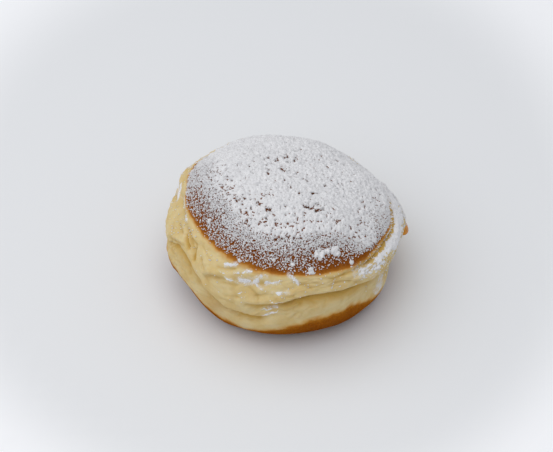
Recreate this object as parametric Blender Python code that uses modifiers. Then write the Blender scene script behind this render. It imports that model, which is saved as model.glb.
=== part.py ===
"""A jelly filled doughnut, built as the baker leaves it: a fried bun of soft yeast dough, and the
jelly in its filling hole, which ends in a bead on the side.

The bun starts as a turned shape. Every point is then moved by rules that make it uneven: a plan
with three soft corners, a top crust that leans to the right, slow swells, and the folds that the
dough took as it puffed up round its middle. All sizes are millimetres until the meshes are made.
"""

import math
from collections import namedtuple

import bmesh
import bpy
import numpy as np

MM = 0.001

# Driving dimensions of the plain turned bun
FOOT_RADIUS = 25.0
COLLAR_RADIUS = 43.8
CRUST_RADIUS = 40.0
WAIST_HEIGHT = 18.0
CRUST_HEIGHT = 33.8
TOP_HEIGHT = 46.2

# How many sides the bun has, and how many rows of faces in each part of its height
SIDES = 132
FOOT_ROWS = 2
BOTTOM_ROWS = 6
COLLAR_ROWS = 27
DOME_ROWS = 9
COLLAR_FROM, COLLAR_TO = 11.0, 36.0

# Plan: three soft corners and a slight oval, as shares of the radius, with the azimuth of one corner
CORNERS, CORNERS_AT = 0.022, 25.0
OVAL, OVAL_AT = 0.012, 10.0
CRUST_OVAL, CRUST_OVAL_AT = 0.030, 105.0
CRUST_SHIFT_X, CRUST_SHIFT_Y = 1.6, 1.6
CRUST_LEAN_X, CRUST_LEAN_Y = -0.09, -0.036

# Broad swellings and hollows: azimuth in degrees, height, how far out, half-widths round and up
BULGES = (
    (14, 24.5, 1.2, 30.0, 4.6),
    (52, 37.0, -1.7, 38.0, 9.0),
    (4, 13.5, -2.7, 30.0, 6.5),
    (344, 21.0, -2.2, 15.0, 6.0),
    (325, 8.0, 1.4, 18.0, 6.0),
    (180, 29.8, -3.5, 22.0, 4.7),
    (156, 28.5, 2.6, 14.0, 4.2),
    (122, 38.5, -1.8, 36.0, 5.0),
    (179, 25.0, -1.5, 15.0, 4.2),
    (189, 16.0, 1.2, 12.0, 4.5),
    (213, 8.5, -0.9, 13.0, 6.0),
    (237, 6.0, 0.8, 9.0, 5.0),
    (232, 28.0, 0.9, 16.0, 4.5),
    (250, 22.5, 1.0, 11.0, 3.6),
    (296, 22.0, 0.8, 22.0, 3.4),
    (334, 29.5, 1.0, 20.0, 4.0),
    (100, 28.0, 0.8, 24.0, 4.0),
    (150, 18.0, 0.8, 18.0, 4.0),
)

# Slow lumps of the skin: waves in random directions, each this deep, with lengths between these
LUMP_SEED = 11
LUMP_COUNT = 16
LUMP_DEPTH = 0.10
LUMP_SHORTEST, LUMP_LONGEST = 18.0, 50.0

# The jelly: a plug along the track that the filling nozzle left, and the bead at its mouth
HOLE_AZIMUTH = 3.0
HOLE_HEIGHT = 21.1
PLUG_RADIUS = 3.2
PLUG_INNER_END = -4.0
MOUTH_AT = 41.5
BEAD_END = 47.4
BEAD_RADIUS = 4.0
BEAD_WIDER = 0.24
BEAD_FLATTER_ABOVE, BEAD_FLATTER_BELOW = 0.26, 0.42
BEAD_DROP = 2.4
JELLY_SIDES = 26
GAP = 0.3

# The waist is the fold that runs all the way round. Each row has the azimuth in degrees, the height
# of the fold on the plain bun, how deep it is, and how far the dough above it stands out.
WAIST = (
    (12, 19.6, 2.4, 0.9),
    (34, 19.6, 2.0, 0.7),
    (60, 21.4, 1.5, 0.6),
    (88, 23.6, 2.3, 0.9),
    (112, 22.6, 1.9, 0.7),
    (136, 20.2, 1.2, 0.5),
    (160, 18.6, 1.8, 0.7),
    (178, 16.8, 1.0, 0.4),
    (188, 18.6, 1.1, 0.5),
    (196, 22.0, 1.6, 0.7),
    (203, 24.4, 2.0, 0.8),
    (210, 25.2, 2.3, 0.9),
    (218, 23.9, 2.4, 0.9),
    (225, 21.8, 2.3, 0.9),
    (231, 19.3, 2.1, 0.9),
    (237, 17.2, 1.8, 0.9),
    (244, 16.2, 1.2, 0.7),
    (251, 17.2, 0.4, 0.2),
    (258, 20.4, 0.2, 0.1),
    (264, 23.0, 1.4, 0.7),
    (270, 24.6, 2.7, 1.3),
    (279, 26.4, 3.0, 1.4),
    (288, 27.0, 3.0, 1.3),
    (296, 26.5, 2.9, 1.2),
    (306, 25.8, 2.8, 1.1),
    (318, 24.3, 2.4, 0.9),
    (332, 22.0, 1.8, 0.6),
    (348, 20.2, 2.2, 0.7),
)
WAIST_MIDDLE, WAIST_SPAN = 22.0, 12.0
WAIST_ABOVE, WAIST_BELOW, WAIST_ROLL = 1.15, 1.7, 5.2
WAIST_ROLL_SHARE = 0.35
WAIST_DROP = 0.42
LIP_ABOVE, LIP_TALL = 2.8, 2.1

# A fold is an arc over the unrolled side, from start to end, each (azimuth in degrees, height).
# bow is how far its middle lies to the left of the straight line between them. The skin is pushed
# in by depth along it, fading over reach above and below it, and stands out by lip just above.
Fold = namedtuple("Fold", "start end bow depth above below lip")

FOLDS = (
    # The ends of the two folds that pass each other on the front
    Fold((233, 17.8), (265, 17.8), -2.4, 1.7, 1.1, 1.7, 0.7),
    Fold((249, 21.4), (276, 25.8), -0.5, 1.6, 1.0, 1.6, 0.6),
    # The pit on the left, the pleat that runs into it, and the fork above the waist
    Fold((200, 31.6), (220, 28.2), 0.6, 1.2, 1.1, 1.3, 0.5),
    Fold((168, 28.6), (204, 31.4), 0.8, 0.9, 1.3, 1.5, 0.4),
    Fold((227, 23.6), (243, 27.9), 1.2, 1.1, 1.1, 1.3, 0.5),
    Fold((241, 29.2), (266, 31.4), -0.8, 0.9, 1.2, 1.3, 0.4),
    # Pleats under the crust at the front
    Fold((270, 32.4), (291, 29.8), -0.6, 0.8, 1.2, 1.3, 0.4),
    Fold((286, 31.4), (312, 26.8), 0.7, 0.8, 1.0, 1.3, 0.4),
    # The groove that parts the crust from the lip, and the cheek below it
    Fold((300, 32.2), (345, 34.3), 0.8, 1.5, 1.2, 1.7, 0.3),
    Fold((335, 34.2), (404, 32.6), 0.6, 1.8, 1.2, 1.8, 0.3),
    Fold((313, 19.6), (330, 25.6), -0.8, 1.2, 1.2, 1.4, 0.4),
    Fold((330, 28.0), (362, 25.6), -1.0, 0.7, 1.2, 1.6, 0.3),
    # Folds on the sides that face away
    Fold((20, 26.4), (62, 28.8), 1.2, 1.0, 1.2, 1.6, 0.4),
    Fold((56, 15.6), (96, 16.8), -2.0, 0.9, 1.2, 1.7, 0.3),
    Fold((84, 30.6), (128, 28.8), -1.4, 1.1, 1.2, 1.6, 0.4),
    Fold((118, 22.0), (140, 29.4), 1.0, 0.9, 1.2, 1.4, 0.3),
    Fold((130, 26.8), (176, 25.8), 1.2, 1.2, 1.2, 1.7, 0.4),
    Fold((142, 29.6), (172, 31.4), 0.9, 0.8, 1.2, 1.4, 0.3),
)
FOLD_STEPS = 12
FOLD_REACH = 4.0
FOLD_END = 0.25


def clear_scene():
    """Removes what the file held, so that the script starts from nothing."""
    for obj in list(bpy.data.objects):
        bpy.data.objects.remove(obj, do_unlink=True)


def new_collection(name):
    """A collection for the doughnut's pieces or for the shapes that cut them."""
    collection = bpy.data.collections.new(name)
    bpy.context.scene.collection.children.link(collection)
    return collection


def finish_of(name, colour, roughness):
    """A Principled material with the piece's plain colour."""
    material = bpy.data.materials.new(name)
    material.use_nodes = True
    shader = material.node_tree.nodes["Principled BSDF"]
    shader.inputs["Base Color"].default_value = (*colour, 1.0)
    shader.inputs["Roughness"].default_value = roughness
    shader.inputs["Metallic"].default_value = 0.0
    return material


def smooth_step(value, low, high):
    """Rises from 0 at low to 1 at high with no corner at either end."""
    t = np.clip((value - low) / (high - low), 0.0, 1.0)
    return t * t * (3.0 - 2.0 * t)


def hill(distance):
    """A bell of height 1 and half-width about 1."""
    return np.exp(-distance * distance)


def turned_from(azimuth, centre_deg):
    """The azimuth measured from a centre, within half a turn either way."""
    return (azimuth - math.radians(centre_deg) + math.pi) % (2 * math.pi) - math.pi


def curve_through(points, samples_each):
    """A smooth Catmull-Rom curve through the points, as an array of (radius, height)."""
    ends = np.vstack([2 * points[0] - points[1], points, 2 * points[-1] - points[-2]])
    t = np.linspace(0.0, 1.0, samples_each, endpoint=False)[:, None]
    runs = []
    for a, b, c, d in zip(ends, ends[1:], ends[2:], ends[3:]):
        runs.append(
            0.5 * (2 * b + (c - a) * t + (2 * a - 5 * b + 4 * c - d) * t**2 + (3 * b - a - 3 * c + d) * t**3)
        )
    return np.vstack([*runs, points[-1:]])


def bun_outline():
    """The bun's plain outline from the middle of its foot to the middle of its top, drawn finely."""
    points = np.array(
        [
            (0.0, 0.0),
            (FOOT_RADIUS, 0.0),
            (0.79 * COLLAR_RADIUS, 1.8),
            (0.91 * COLLAR_RADIUS, 6.0),
            (0.977 * COLLAR_RADIUS, 12.0),
            (0.986 * COLLAR_RADIUS, WAIST_HEIGHT),
            (COLLAR_RADIUS, 24.0),
            (0.975 * COLLAR_RADIUS, 29.6),
            (CRUST_RADIUS, CRUST_HEIGHT),
            (0.865 * CRUST_RADIUS, 38.4),
            (0.625 * CRUST_RADIUS, 42.9),
            (0.3125 * CRUST_RADIUS, 45.6),
            (0.0, TOP_HEIGHT),
        ]
    )
    fine = curve_through(points, 60)
    fine[:, 1] = np.maximum(fine[:, 1], 0.0)
    return fine


def bun_rows():
    """The heights on the outline at which the bun's rows lie: close together on the collar."""
    fine = bun_outline()
    length = np.r_[0.0, np.cumsum(np.hypot(*np.diff(fine, axis=0).T))]
    foot = length[np.argmin(np.abs(fine[:, 0] - FOOT_RADIUS) + np.abs(fine[:, 1]))]
    low = np.interp(COLLAR_FROM, fine[:, 1], length)
    high = np.interp(COLLAR_TO, fine[:, 1], length)
    stations = np.r_[
        np.linspace(0.0, foot, FOOT_ROWS, endpoint=False),
        np.linspace(foot, low, BOTTOM_ROWS, endpoint=False),
        np.linspace(low, high, COLLAR_ROWS, endpoint=False),
        np.linspace(high, length[-1], DOME_ROWS),
    ]
    return np.c_[np.interp(stations, length, fine[:, 0]), np.interp(stations, length, fine[:, 1])]


def round_table(azimuth, column):
    """A column of the waist's table, smooth all the way round, at each point's azimuth."""
    degrees = np.arange(360.0)
    plain = np.interp(degrees, [row[0] for row in WAIST], [row[column] for row in WAIST], period=360.0)
    shifts = np.arange(-9, 10)
    weights = hill(shifts / 4.0)
    smooth = sum(weight * np.roll(plain, shift) for shift, weight in zip(shifts, weights)) / weights.sum()
    return np.interp(np.degrees(azimuth), degrees, smooth, period=360.0)


def follow_waist(azimuth, height):
    """Slides the rows up or down the outline so that one row runs along the waist."""
    tent = np.clip(1.0 - np.abs(height - WAIST_MIDDLE) / WAIST_SPAN, 0.0, 1.0)
    return height + tent * (round_table(azimuth, 1) - WAIST_MIDDLE)


def waist_moves(azimuth, height):
    """How far the waist moves each point outwards and down.

    Above the fold the skin comes out steeply and its edge hangs down; below, a notch goes over into
    the rounded shoulder of the lower roll.
    """
    above = height - round_table(azimuth, 1)
    depth, lip = round_table(azimuth, 2), round_table(azimuth, 3)
    below = (1.0 - WAIST_ROLL_SHARE) * hill(above / WAIST_BELOW) + WAIST_ROLL_SHARE * hill(above / WAIST_ROLL)
    notch = np.where(above > 0, hill(above / WAIST_ABOVE), below)
    out = lip * hill((above - LIP_ABOVE) / LIP_TALL) - depth * notch
    down = np.where(above > 0, WAIST_DROP * depth * hill((above - 0.7) / 1.6), 0.0)
    return out, down * smooth_step(above, 0.0, 0.5)


def fold_line(fold):
    """The points of a fold's arc on the unrolled side, as (distance round, height)."""
    start, end = (np.array((math.radians(az) * COLLAR_RADIUS, h)) for az, h in (fold.start, fold.end))
    along = end - start
    across = np.array((-along[1], along[0])) / np.hypot(*along)
    t = np.linspace(0.0, 1.0, FOLD_STEPS + 1)[:, None]
    return start + along * t + across * fold.bow * 4.0 * t * (1.0 - t)


def fold_moves(fold, azimuth, height):
    """How far one fold moves each point outwards.

    The signed distance from the arc is positive on its upper side. The push is a bell that fades
    over one reach above the arc and another below it, and the lip is a second bell just above.
    """
    line = fold_line(fold)
    middle = math.degrees(line[:, 0].mean() / COLLAR_RADIUS)
    round_side = turned_from(azimuth, middle) * COLLAR_RADIUS + math.radians(middle) * COLLAR_RADIUS
    nearest = np.full(azimuth.shape, np.inf)
    signed = np.zeros(azimuth.shape)
    share = np.zeros(azimuth.shape)
    for step, (a, b) in enumerate(zip(line, line[1:])):
        ux, uy = b - a
        dx, dy = round_side - a[0], height - a[1]
        t = np.clip((dx * ux + dy * uy) / (ux * ux + uy * uy), 0.0, 1.0)
        distance = np.hypot(dx - t * ux, dy - t * uy)
        closer = distance < nearest
        nearest = np.where(closer, distance, nearest)
        signed = np.where(closer, np.sign(ux * dy - uy * dx) * distance, signed)
        share = np.where(closer, (step + t) / FOLD_STEPS, share)
    fade = smooth_step(share, 0.0, FOLD_END) * smooth_step(1.0 - share, 0.0, FOLD_END)
    fade = np.where(nearest < FOLD_REACH * (fold.above + fold.below), fade, 0.0)
    reach = np.where(signed > 0, fold.above, fold.below)
    lip = fold.lip * hill((signed - 1.9 * fold.above) / (1.1 * fold.above))
    return fade * (lip - fold.depth * hill(signed / reach))


def lumps(points):
    """Slow lumps: a sum of waves in random directions through the bun."""
    draw = np.random.default_rng(LUMP_SEED)
    total = np.zeros(len(points))
    for _ in range(LUMP_COUNT):
        direction = draw.normal(size=3)
        direction *= 2 * math.pi / (draw.uniform(LUMP_SHORTEST, LUMP_LONGEST) * np.linalg.norm(direction))
        total += LUMP_DEPTH * np.cos(points @ direction + draw.uniform(0.0, 2 * math.pi))
    return total


def bulges(azimuth, height):
    """The sum of the broad swellings and hollows."""
    total = np.zeros(azimuth.shape)
    for centre, middle, out, spread, tall in BULGES:
        total += out * hill(turned_from(azimuth, centre) / math.radians(spread)) * hill((height - middle) / tall)
    return total


def uneven_plan(azimuth, crust):
    """What the radius is multiplied by: three soft corners below, an oval at the crust."""
    corners = CORNERS * np.cos(3 * turned_from(azimuth, CORNERS_AT))
    oval = OVAL * np.cos(2 * turned_from(azimuth, OVAL_AT))
    crust_oval = CRUST_OVAL * np.cos(2 * turned_from(azimuth, CRUST_OVAL_AT))
    return 1.0 + (1.0 - crust) * (corners + oval) + crust * crust_oval


def shape_bun(points, normals):
    """Moves the turned bun's points into the uneven shape of the real one."""
    azimuth = np.arctan2(points[:, 1], points[:, 0])
    fine = bun_outline()
    side = (points[:, 2] > 1.0) & (points[:, 2] < CRUST_HEIGHT + 1.0)
    height = np.where(side, follow_waist(azimuth, points[:, 2]), points[:, 2])
    radius = np.where(side, np.interp(height, fine[:, 1], fine[:, 0]), np.hypot(points[:, 0], points[:, 1]))

    crust = smooth_step(height, WAIST_HEIGHT, CRUST_HEIGHT)
    waist_out, down = waist_moves(azimuth, height)
    out = lumps(points) * smooth_step(height, 1.0, 9.0) + bulges(azimuth, height) + waist_out
    for fold in FOLDS:
        out += fold_moves(fold, azimuth, height)

    radius = radius * uneven_plan(azimuth, crust) + out * np.hypot(normals[:, 0], normals[:, 1])
    x = radius * np.cos(azimuth) + crust * CRUST_SHIFT_X
    y = radius * np.sin(azimuth) + crust * CRUST_SHIFT_Y
    z = height + out * np.where(height > 1.0, normals[:, 2], 0.0) - down
    lean = np.clip(height / CRUST_HEIGHT, 0.0, 1.0) ** 1.5
    return np.c_[x, y, z + lean * (CRUST_LEAN_X * x + CRUST_LEAN_Y * y)]


def mesh_from_rows(name, rows, sides):
    """A closed turned mesh: the rows, from the bottom up, go round Z by a Screw modifier."""
    profile = bpy.data.meshes.new(name + "_profile")
    top_down = [(radius, 0.0, height) for radius, height in rows[::-1]]
    profile.from_pydata(top_down, [(i, i + 1) for i in range(len(top_down) - 1)], [])
    source = bpy.data.objects.new(name + "_profile", profile)
    bpy.context.scene.collection.objects.link(source)
    screw = source.modifiers.new("turn", "SCREW")
    screw.axis = "Z"
    screw.angle = 2 * math.pi
    screw.steps = sides
    screw.render_steps = sides
    screw.use_merge_vertices = True
    screw.merge_threshold = 0.0001
    bpy.context.view_layer.update()
    turned = bpy.data.meshes.new_from_object(source.evaluated_get(bpy.context.evaluated_depsgraph_get()))
    bpy.data.objects.remove(source, do_unlink=True)
    turned.name = name
    return turned


def add_object(name, mesh, collection, material=None):
    """Puts a mesh in the scene as a named object with its own finish."""
    obj = bpy.data.objects.new(name, mesh)
    collection.objects.link(obj)
    if material:
        mesh.materials.clear()
        mesh.materials.append(material)
    return obj


def move_points(mesh, rule):
    """Applies a rule to all the mesh's points at once, and turns millimetres into metres."""
    count = len(mesh.vertices)
    points = np.empty(count * 3, np.float32)
    normals = np.empty(count * 3, np.float32)
    mesh.vertices.foreach_get("co", points)
    mesh.vertices.foreach_get("normal", normals)
    moved = rule(points.reshape(-1, 3).astype(float), normals.reshape(-1, 3).astype(float))
    mesh.vertices.foreach_set("co", (moved * MM).astype(np.float32).ravel())
    mesh.update()


def make_bun(collection):
    """The dough: the turned bun, moved into shape and shaded smooth."""
    mesh = mesh_from_rows("doughnut", bun_rows(), SIDES)
    move_points(mesh, shape_bun)
    mesh.shade_smooth()
    return add_object("doughnut", mesh, collection, finish_of("dough", (0.80, 0.58, 0.28), 0.6))


def jelly_outline(extra):
    """The jelly's outline from the plug's round inner end to the tip of the bead.

    extra makes it wider all over, for the hollow that the dough leaves round it.
    """
    quarter = np.linspace(0.0, math.pi / 2, 6)
    inner = np.c_[PLUG_RADIUS * np.sin(quarter), PLUG_INNER_END + PLUG_RADIUS * (1.0 - np.cos(quarter))]
    stem = [(PLUG_RADIUS, along) for along in np.linspace(PLUG_INNER_END + PLUG_RADIUS, MOUTH_AT - 3.0, 5)[1:]]
    throat = [(PLUG_RADIUS + 0.15, MOUTH_AT - 1.4), (PLUG_RADIUS + 0.5, MOUTH_AT)]
    bead_start = MOUTH_AT + 1.4
    bead = np.c_[BEAD_RADIUS * np.cos(quarter), bead_start + (BEAD_END - bead_start) * np.sin(quarter)]
    rows = np.vstack([inner, stem, throat, bead])
    rows[1:-1, 0] += extra
    rows[0] = (0.0, PLUG_INNER_END - extra)
    rows[-1] = (0.0, BEAD_END + extra)
    return rows


def lay_jelly(points, _normals):
    """Lays the upright jelly along the nozzle's track. The bead spreads, is flatter below, and its
    tip drops."""
    across, up, along = points[:, 0], points[:, 1], points[:, 2]
    bead = smooth_step(along, MOUTH_AT - 2.0, BEAD_END - 2.0)
    flatter = np.where(up > 0, BEAD_FLATTER_ABOVE, BEAD_FLATTER_BELOW)
    beyond = np.clip((along - MOUTH_AT) / (BEAD_END - MOUTH_AT), 0.0, 1.0)
    up = up * (1.0 - flatter * bead) - BEAD_DROP * beyond**1.5
    across = across * (1.0 + BEAD_WIDER * bead)
    turn = math.radians(HOLE_AZIMUTH)
    x = along * math.cos(turn) - across * math.sin(turn)
    y = along * math.sin(turn) + across * math.cos(turn)
    return np.c_[x, y, up + HOLE_HEIGHT]


def make_jelly(name, collection, extra=0.0, material=None):
    """The jelly, or with extra the wider shape that cuts its room out of the dough."""
    mesh = mesh_from_rows(name, jelly_outline(extra), JELLY_SIDES)
    move_points(mesh, lay_jelly)
    face_outwards(mesh)
    mesh.shade_smooth()
    return add_object(name, mesh, collection, material)


def face_outwards(mesh):
    """Turns all faces of a closed mesh outwards."""
    shape = bmesh.new()
    shape.from_mesh(mesh)
    bmesh.ops.recalc_face_normals(shape, faces=shape.faces)
    shape.to_mesh(mesh)
    shape.free()


def cut(target, cutter):
    """Takes the cutter's shape out of the target."""
    cutter.hide_render = True
    cutter.display_type = "WIRE"
    boolean = target.modifiers.new("room for " + cutter.name, "BOOLEAN")
    boolean.operation = "DIFFERENCE"
    boolean.solver = "EXACT"
    boolean.object = cutter


def main():
    """Builds the doughnut with its foot's middle at the origin."""
    clear_scene()
    pieces = new_collection("jelly_filled_doughnut")
    cutters = new_collection("cutters")
    bun = make_bun(pieces)
    make_jelly("jelly", pieces, material=finish_of("jelly", (0.62, 0.24, 0.03), 0.15))
    cut(bun, make_jelly("filling_hole", cutters, extra=GAP))


main()
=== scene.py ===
# %% [markdown]
# # A jelly filled doughnut
#
# A filled doughnut is a ball of yeast dough that is fried on one side and then on the other.
# The two fried sides turn brown, and the band between them, which floats above the fat, stays
# pale and soft. A nozzle then fills it from the side, and sugar is sifted over the top.
#
# This lesson dresses a finished solid model of it. Each visible surface is worked out with numpy
# as a grid of points, put into a mesh, and given a finish made of shader nodes.

# %% Load the solid model
import math

import bpy
import numpy as np
from mathutils import Matrix, Vector


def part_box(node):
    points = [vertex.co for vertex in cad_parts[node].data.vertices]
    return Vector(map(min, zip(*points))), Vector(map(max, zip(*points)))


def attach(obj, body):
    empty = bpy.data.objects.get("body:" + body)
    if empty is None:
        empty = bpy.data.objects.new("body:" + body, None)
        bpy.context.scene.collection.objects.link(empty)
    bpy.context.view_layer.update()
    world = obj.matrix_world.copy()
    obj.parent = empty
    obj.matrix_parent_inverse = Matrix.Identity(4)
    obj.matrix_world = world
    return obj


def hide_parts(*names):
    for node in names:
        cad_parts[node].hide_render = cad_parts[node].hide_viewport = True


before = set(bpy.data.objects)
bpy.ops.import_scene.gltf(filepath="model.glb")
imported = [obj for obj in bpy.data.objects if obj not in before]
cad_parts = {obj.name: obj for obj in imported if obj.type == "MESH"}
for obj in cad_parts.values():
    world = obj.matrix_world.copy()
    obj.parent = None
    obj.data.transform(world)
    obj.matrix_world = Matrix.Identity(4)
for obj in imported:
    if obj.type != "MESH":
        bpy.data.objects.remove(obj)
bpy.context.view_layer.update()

# %% [markdown]
# ## The plain bun
#
# Without its folds the bun is a turned shape: one outline from the middle of its foot to the
# middle of its top, carried round the upright axis. All sizes here are millimetres. The numbers
# are those of the solid model, so that the dressed bun lies exactly where the solid one does.

# %% Sizes of the plain bun
FOOT_RADIUS = 25.0
COLLAR_RADIUS = 43.8
CRUST_RADIUS = 40.0
WAIST_HEIGHT = 18.0
CRUST_HEIGHT = 33.8
TOP_HEIGHT = 46.2


def smooth_step(value, low, high):
    """Rises from 0 at low to 1 at high as 3t^2 - 2t^3, so it has no corner at either end."""
    t = np.clip((value - low) / (high - low), 0.0, 1.0)
    return t * t * (3.0 - 2.0 * t)


def hill(distance):
    """A bell: e to the power of minus distance squared."""
    return np.exp(-distance * distance)


def valley(distance):
    """A bell that comes to a sharp line in its middle, as where two puffs of dough meet: e to the
    power of minus distance to the 1.2, with the line rounded over a small distance."""
    rounded = 0.02
    return np.exp(rounded**0.6 - (distance * distance + rounded) ** 0.6)


def turned_from(azimuth, centre_deg):
    """The azimuth measured from a centre in degrees, brought within half a turn either way."""
    return (azimuth - math.radians(centre_deg) + math.pi) % (2 * math.pi) - math.pi


# %% The outline
def curve_through(points, samples_each):
    """A smooth curve through the points: on each stretch a cubic whose ends have the slope of the
    line between the neighbours on both sides."""
    ends = np.vstack([2 * points[0] - points[1], points, 2 * points[-1] - points[-2]])
    t = np.linspace(0.0, 1.0, samples_each, endpoint=False)[:, None]
    runs = []
    for a, b, c, d in zip(ends, ends[1:], ends[2:], ends[3:]):
        runs.append(
            0.5
            * (2 * b + (c - a) * t + (2 * a - 5 * b + 4 * c - d) * t**2 + (3 * b - a - 3 * c + d) * t**3)
        )
    return np.vstack([*runs, points[-1:]])


OUTLINE = curve_through(
    np.array(
        [
            (0.0, 0.0),
            (FOOT_RADIUS, 0.0),
            (0.79 * COLLAR_RADIUS, 1.8),
            (0.91 * COLLAR_RADIUS, 6.0),
            (0.977 * COLLAR_RADIUS, 12.0),
            (0.986 * COLLAR_RADIUS, WAIST_HEIGHT),
            (COLLAR_RADIUS, 24.0),
            (0.975 * COLLAR_RADIUS, 29.6),
            (CRUST_RADIUS, CRUST_HEIGHT),
            (0.865 * CRUST_RADIUS, 38.4),
            (0.625 * CRUST_RADIUS, 42.9),
            (0.3125 * CRUST_RADIUS, 45.6),
            (0.0, TOP_HEIGHT),
        ]
    ),
    60,
)
OUTLINE[:, 1] = np.maximum(OUTLINE[:, 1], 0.0)
WAY = np.r_[0.0, np.cumsum(np.hypot(*np.diff(OUTLINE, axis=0).T))]
FOOT_EDGE = WAY[np.argmin(np.abs(OUTLINE[:, 0] - FOOT_RADIUS) + np.abs(OUTLINE[:, 1]))]
print("outline is", round(WAY[-1], 1), "mm long, its foot", round(FOOT_EDGE, 1), "mm")


def way_at(height):
    """How far along the outline a height lies."""
    return np.interp(height, OUTLINE[:, 1], WAY)


def on_outline(way):
    """Radius and height at a distance along the outline, and the two parts of the outward normal,
    which is square to the line between two places a little before and after it."""
    radius = np.interp(way, WAY, OUTLINE[:, 0])
    height = np.interp(way, WAY, OUTLINE[:, 1])
    half = 0.7
    run = np.interp(way + half, WAY, OUTLINE[:, 0]) - np.interp(way - half, WAY, OUTLINE[:, 0])
    rise = np.interp(way + half, WAY, OUTLINE[:, 1]) - np.interp(way - half, WAY, OUTLINE[:, 1])
    size = np.hypot(run, rise)
    return radius, height, rise / size, -run / size


# %% [markdown]
# ## The uneven bun
#
# A hand-made bun is never round. Seen from above it has soft corners, its top crust leans, and
# its skin swells here and sinks there. Three rules give that: waves in the plan, a list of broad
# swellings, and slow lumps made of waves that run through the bun in random directions.

# %% Plan, lean and swellings
CORNERS, CORNERS_AT = 0.022, 25.0
OVAL, OVAL_AT = 0.012, 10.0
CRUST_OVAL, CRUST_OVAL_AT = 0.030, 105.0
CRUST_SHIFT = (1.6, 1.6)
CRUST_LEAN = (-0.09, -0.036)

# Azimuth in degrees, height, how far out, half-widths round and up
BULGES = (
    (14, 24.5, 1.2, 30.0, 4.6),
    (52, 37.0, -1.7, 38.0, 9.0),
    (4, 13.5, -2.7, 30.0, 6.5),
    (344, 21.0, -2.2, 15.0, 6.0),
    (325, 8.0, 1.4, 18.0, 6.0),
    (180, 29.8, -3.5, 22.0, 4.7),
    (156, 28.5, 2.6, 14.0, 4.2),
    (122, 38.5, -1.8, 36.0, 5.0),
    (179, 25.0, -1.5, 15.0, 4.2),
    (189, 16.0, 1.2, 12.0, 4.5),
    (213, 8.5, -0.9, 13.0, 6.0),
    (237, 6.0, 0.8, 9.0, 5.0),
    (232, 28.0, 0.9, 16.0, 4.5),
    (250, 22.5, 1.0, 11.0, 3.6),
    (296, 22.0, 0.8, 22.0, 3.4),
    (334, 29.5, 1.0, 20.0, 4.0),
    (100, 28.0, 0.8, 24.0, 4.0),
    (150, 18.0, 0.8, 18.0, 4.0),
)


def uneven_plan(azimuth, crust):
    """What the radius is multiplied by: 1 plus a three-cornered wave and an oval below, and
    another oval at the crust. crust is 0 on the collar and 1 on the crust."""
    corners = CORNERS * np.cos(3 * turned_from(azimuth, CORNERS_AT))
    oval = OVAL * np.cos(2 * turned_from(azimuth, OVAL_AT))
    crust_oval = CRUST_OVAL * np.cos(2 * turned_from(azimuth, CRUST_OVAL_AT))
    return 1.0 + (1.0 - crust) * (corners + oval) + crust * crust_oval


def bulges(azimuth, height):
    """The sum of the swellings: each is a bell round the bun times a bell up its side."""
    total = np.zeros(azimuth.shape)
    for centre, middle, out, spread, tall in BULGES:
        round_side = hill(turned_from(azimuth, centre) / math.radians(spread))
        total += out * round_side * hill((height - middle) / tall)
    return total


LUMP_WAVES, LUMP_HEIGHT = 16, 0.10
SHORTEST_LUMP, LONGEST_LUMP = 18.0, 50.0


def lumps(points):
    """The sum of cosine waves of many lengths, in random directions with random starts."""
    draw = np.random.default_rng(11)
    total = np.zeros(points.shape[:-1])
    for _ in range(LUMP_WAVES):
        direction = draw.normal(size=3)
        length = draw.uniform(SHORTEST_LUMP, LONGEST_LUMP)
        direction *= 2 * math.pi / (length * np.linalg.norm(direction))
        total += LUMP_HEIGHT * np.cos(points @ direction + draw.uniform(0.0, 2 * math.pi))
    return total


# %% [markdown]
# ## The waist
#
# As the dough puffs up in the fat, the upper half swells over the lower one. The fold between
# them runs right round the bun, high on one side and low on another. A table gives its height,
# its depth and how far the upper half stands out, and the rows of the mesh are made to follow it,
# because a crease that cuts across the rows of a mesh comes out jagged.

# %% The fold that runs round the bun
# Azimuth in degrees, height on the plain bun, depth, how far the dough above stands out
WAIST = (
    (12, 19.6, 2.4, 0.9),
    (34, 19.6, 2.0, 0.7),
    (60, 21.4, 1.5, 0.6),
    (88, 23.6, 2.3, 0.9),
    (112, 22.6, 1.9, 0.7),
    (136, 20.2, 1.2, 0.5),
    (160, 18.6, 1.8, 0.7),
    (178, 16.8, 1.0, 0.4),
    (188, 18.6, 1.1, 0.5),
    (196, 22.0, 1.6, 0.7),
    (203, 24.4, 2.0, 0.8),
    (210, 25.2, 2.3, 0.9),
    (218, 23.9, 2.4, 0.9),
    (225, 21.8, 2.3, 0.9),
    (231, 19.3, 2.1, 0.9),
    (237, 17.2, 1.8, 0.9),
    (244, 16.2, 1.2, 0.7),
    (251, 17.2, 0.4, 0.2),
    (258, 20.4, 0.2, 0.1),
    (264, 23.0, 1.4, 0.7),
    (270, 24.6, 2.7, 1.3),
    (279, 26.4, 3.0, 1.4),
    (288, 27.0, 3.0, 1.3),
    (296, 26.5, 2.9, 1.2),
    (306, 25.8, 2.8, 1.1),
    (318, 24.3, 2.4, 0.9),
    (332, 22.0, 1.8, 0.6),
    (348, 20.2, 2.2, 0.7),
)
WAIST_MIDDLE, WAIST_SPAN = 22.0, 12.0
WAIST_ABOVE, WAIST_BELOW, WAIST_ROLL = 1.15, 1.7, 5.2
WAIST_ROLL_SHARE = 0.35
WAIST_DROP, DROP_ABOVE, DROP_TALL = 0.42, 0.7, 1.6
LIP_ABOVE, LIP_TALL = 2.8, 2.1
SMOOTH_REACH, SMOOTH_WIDTH = 9, 4.0


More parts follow.
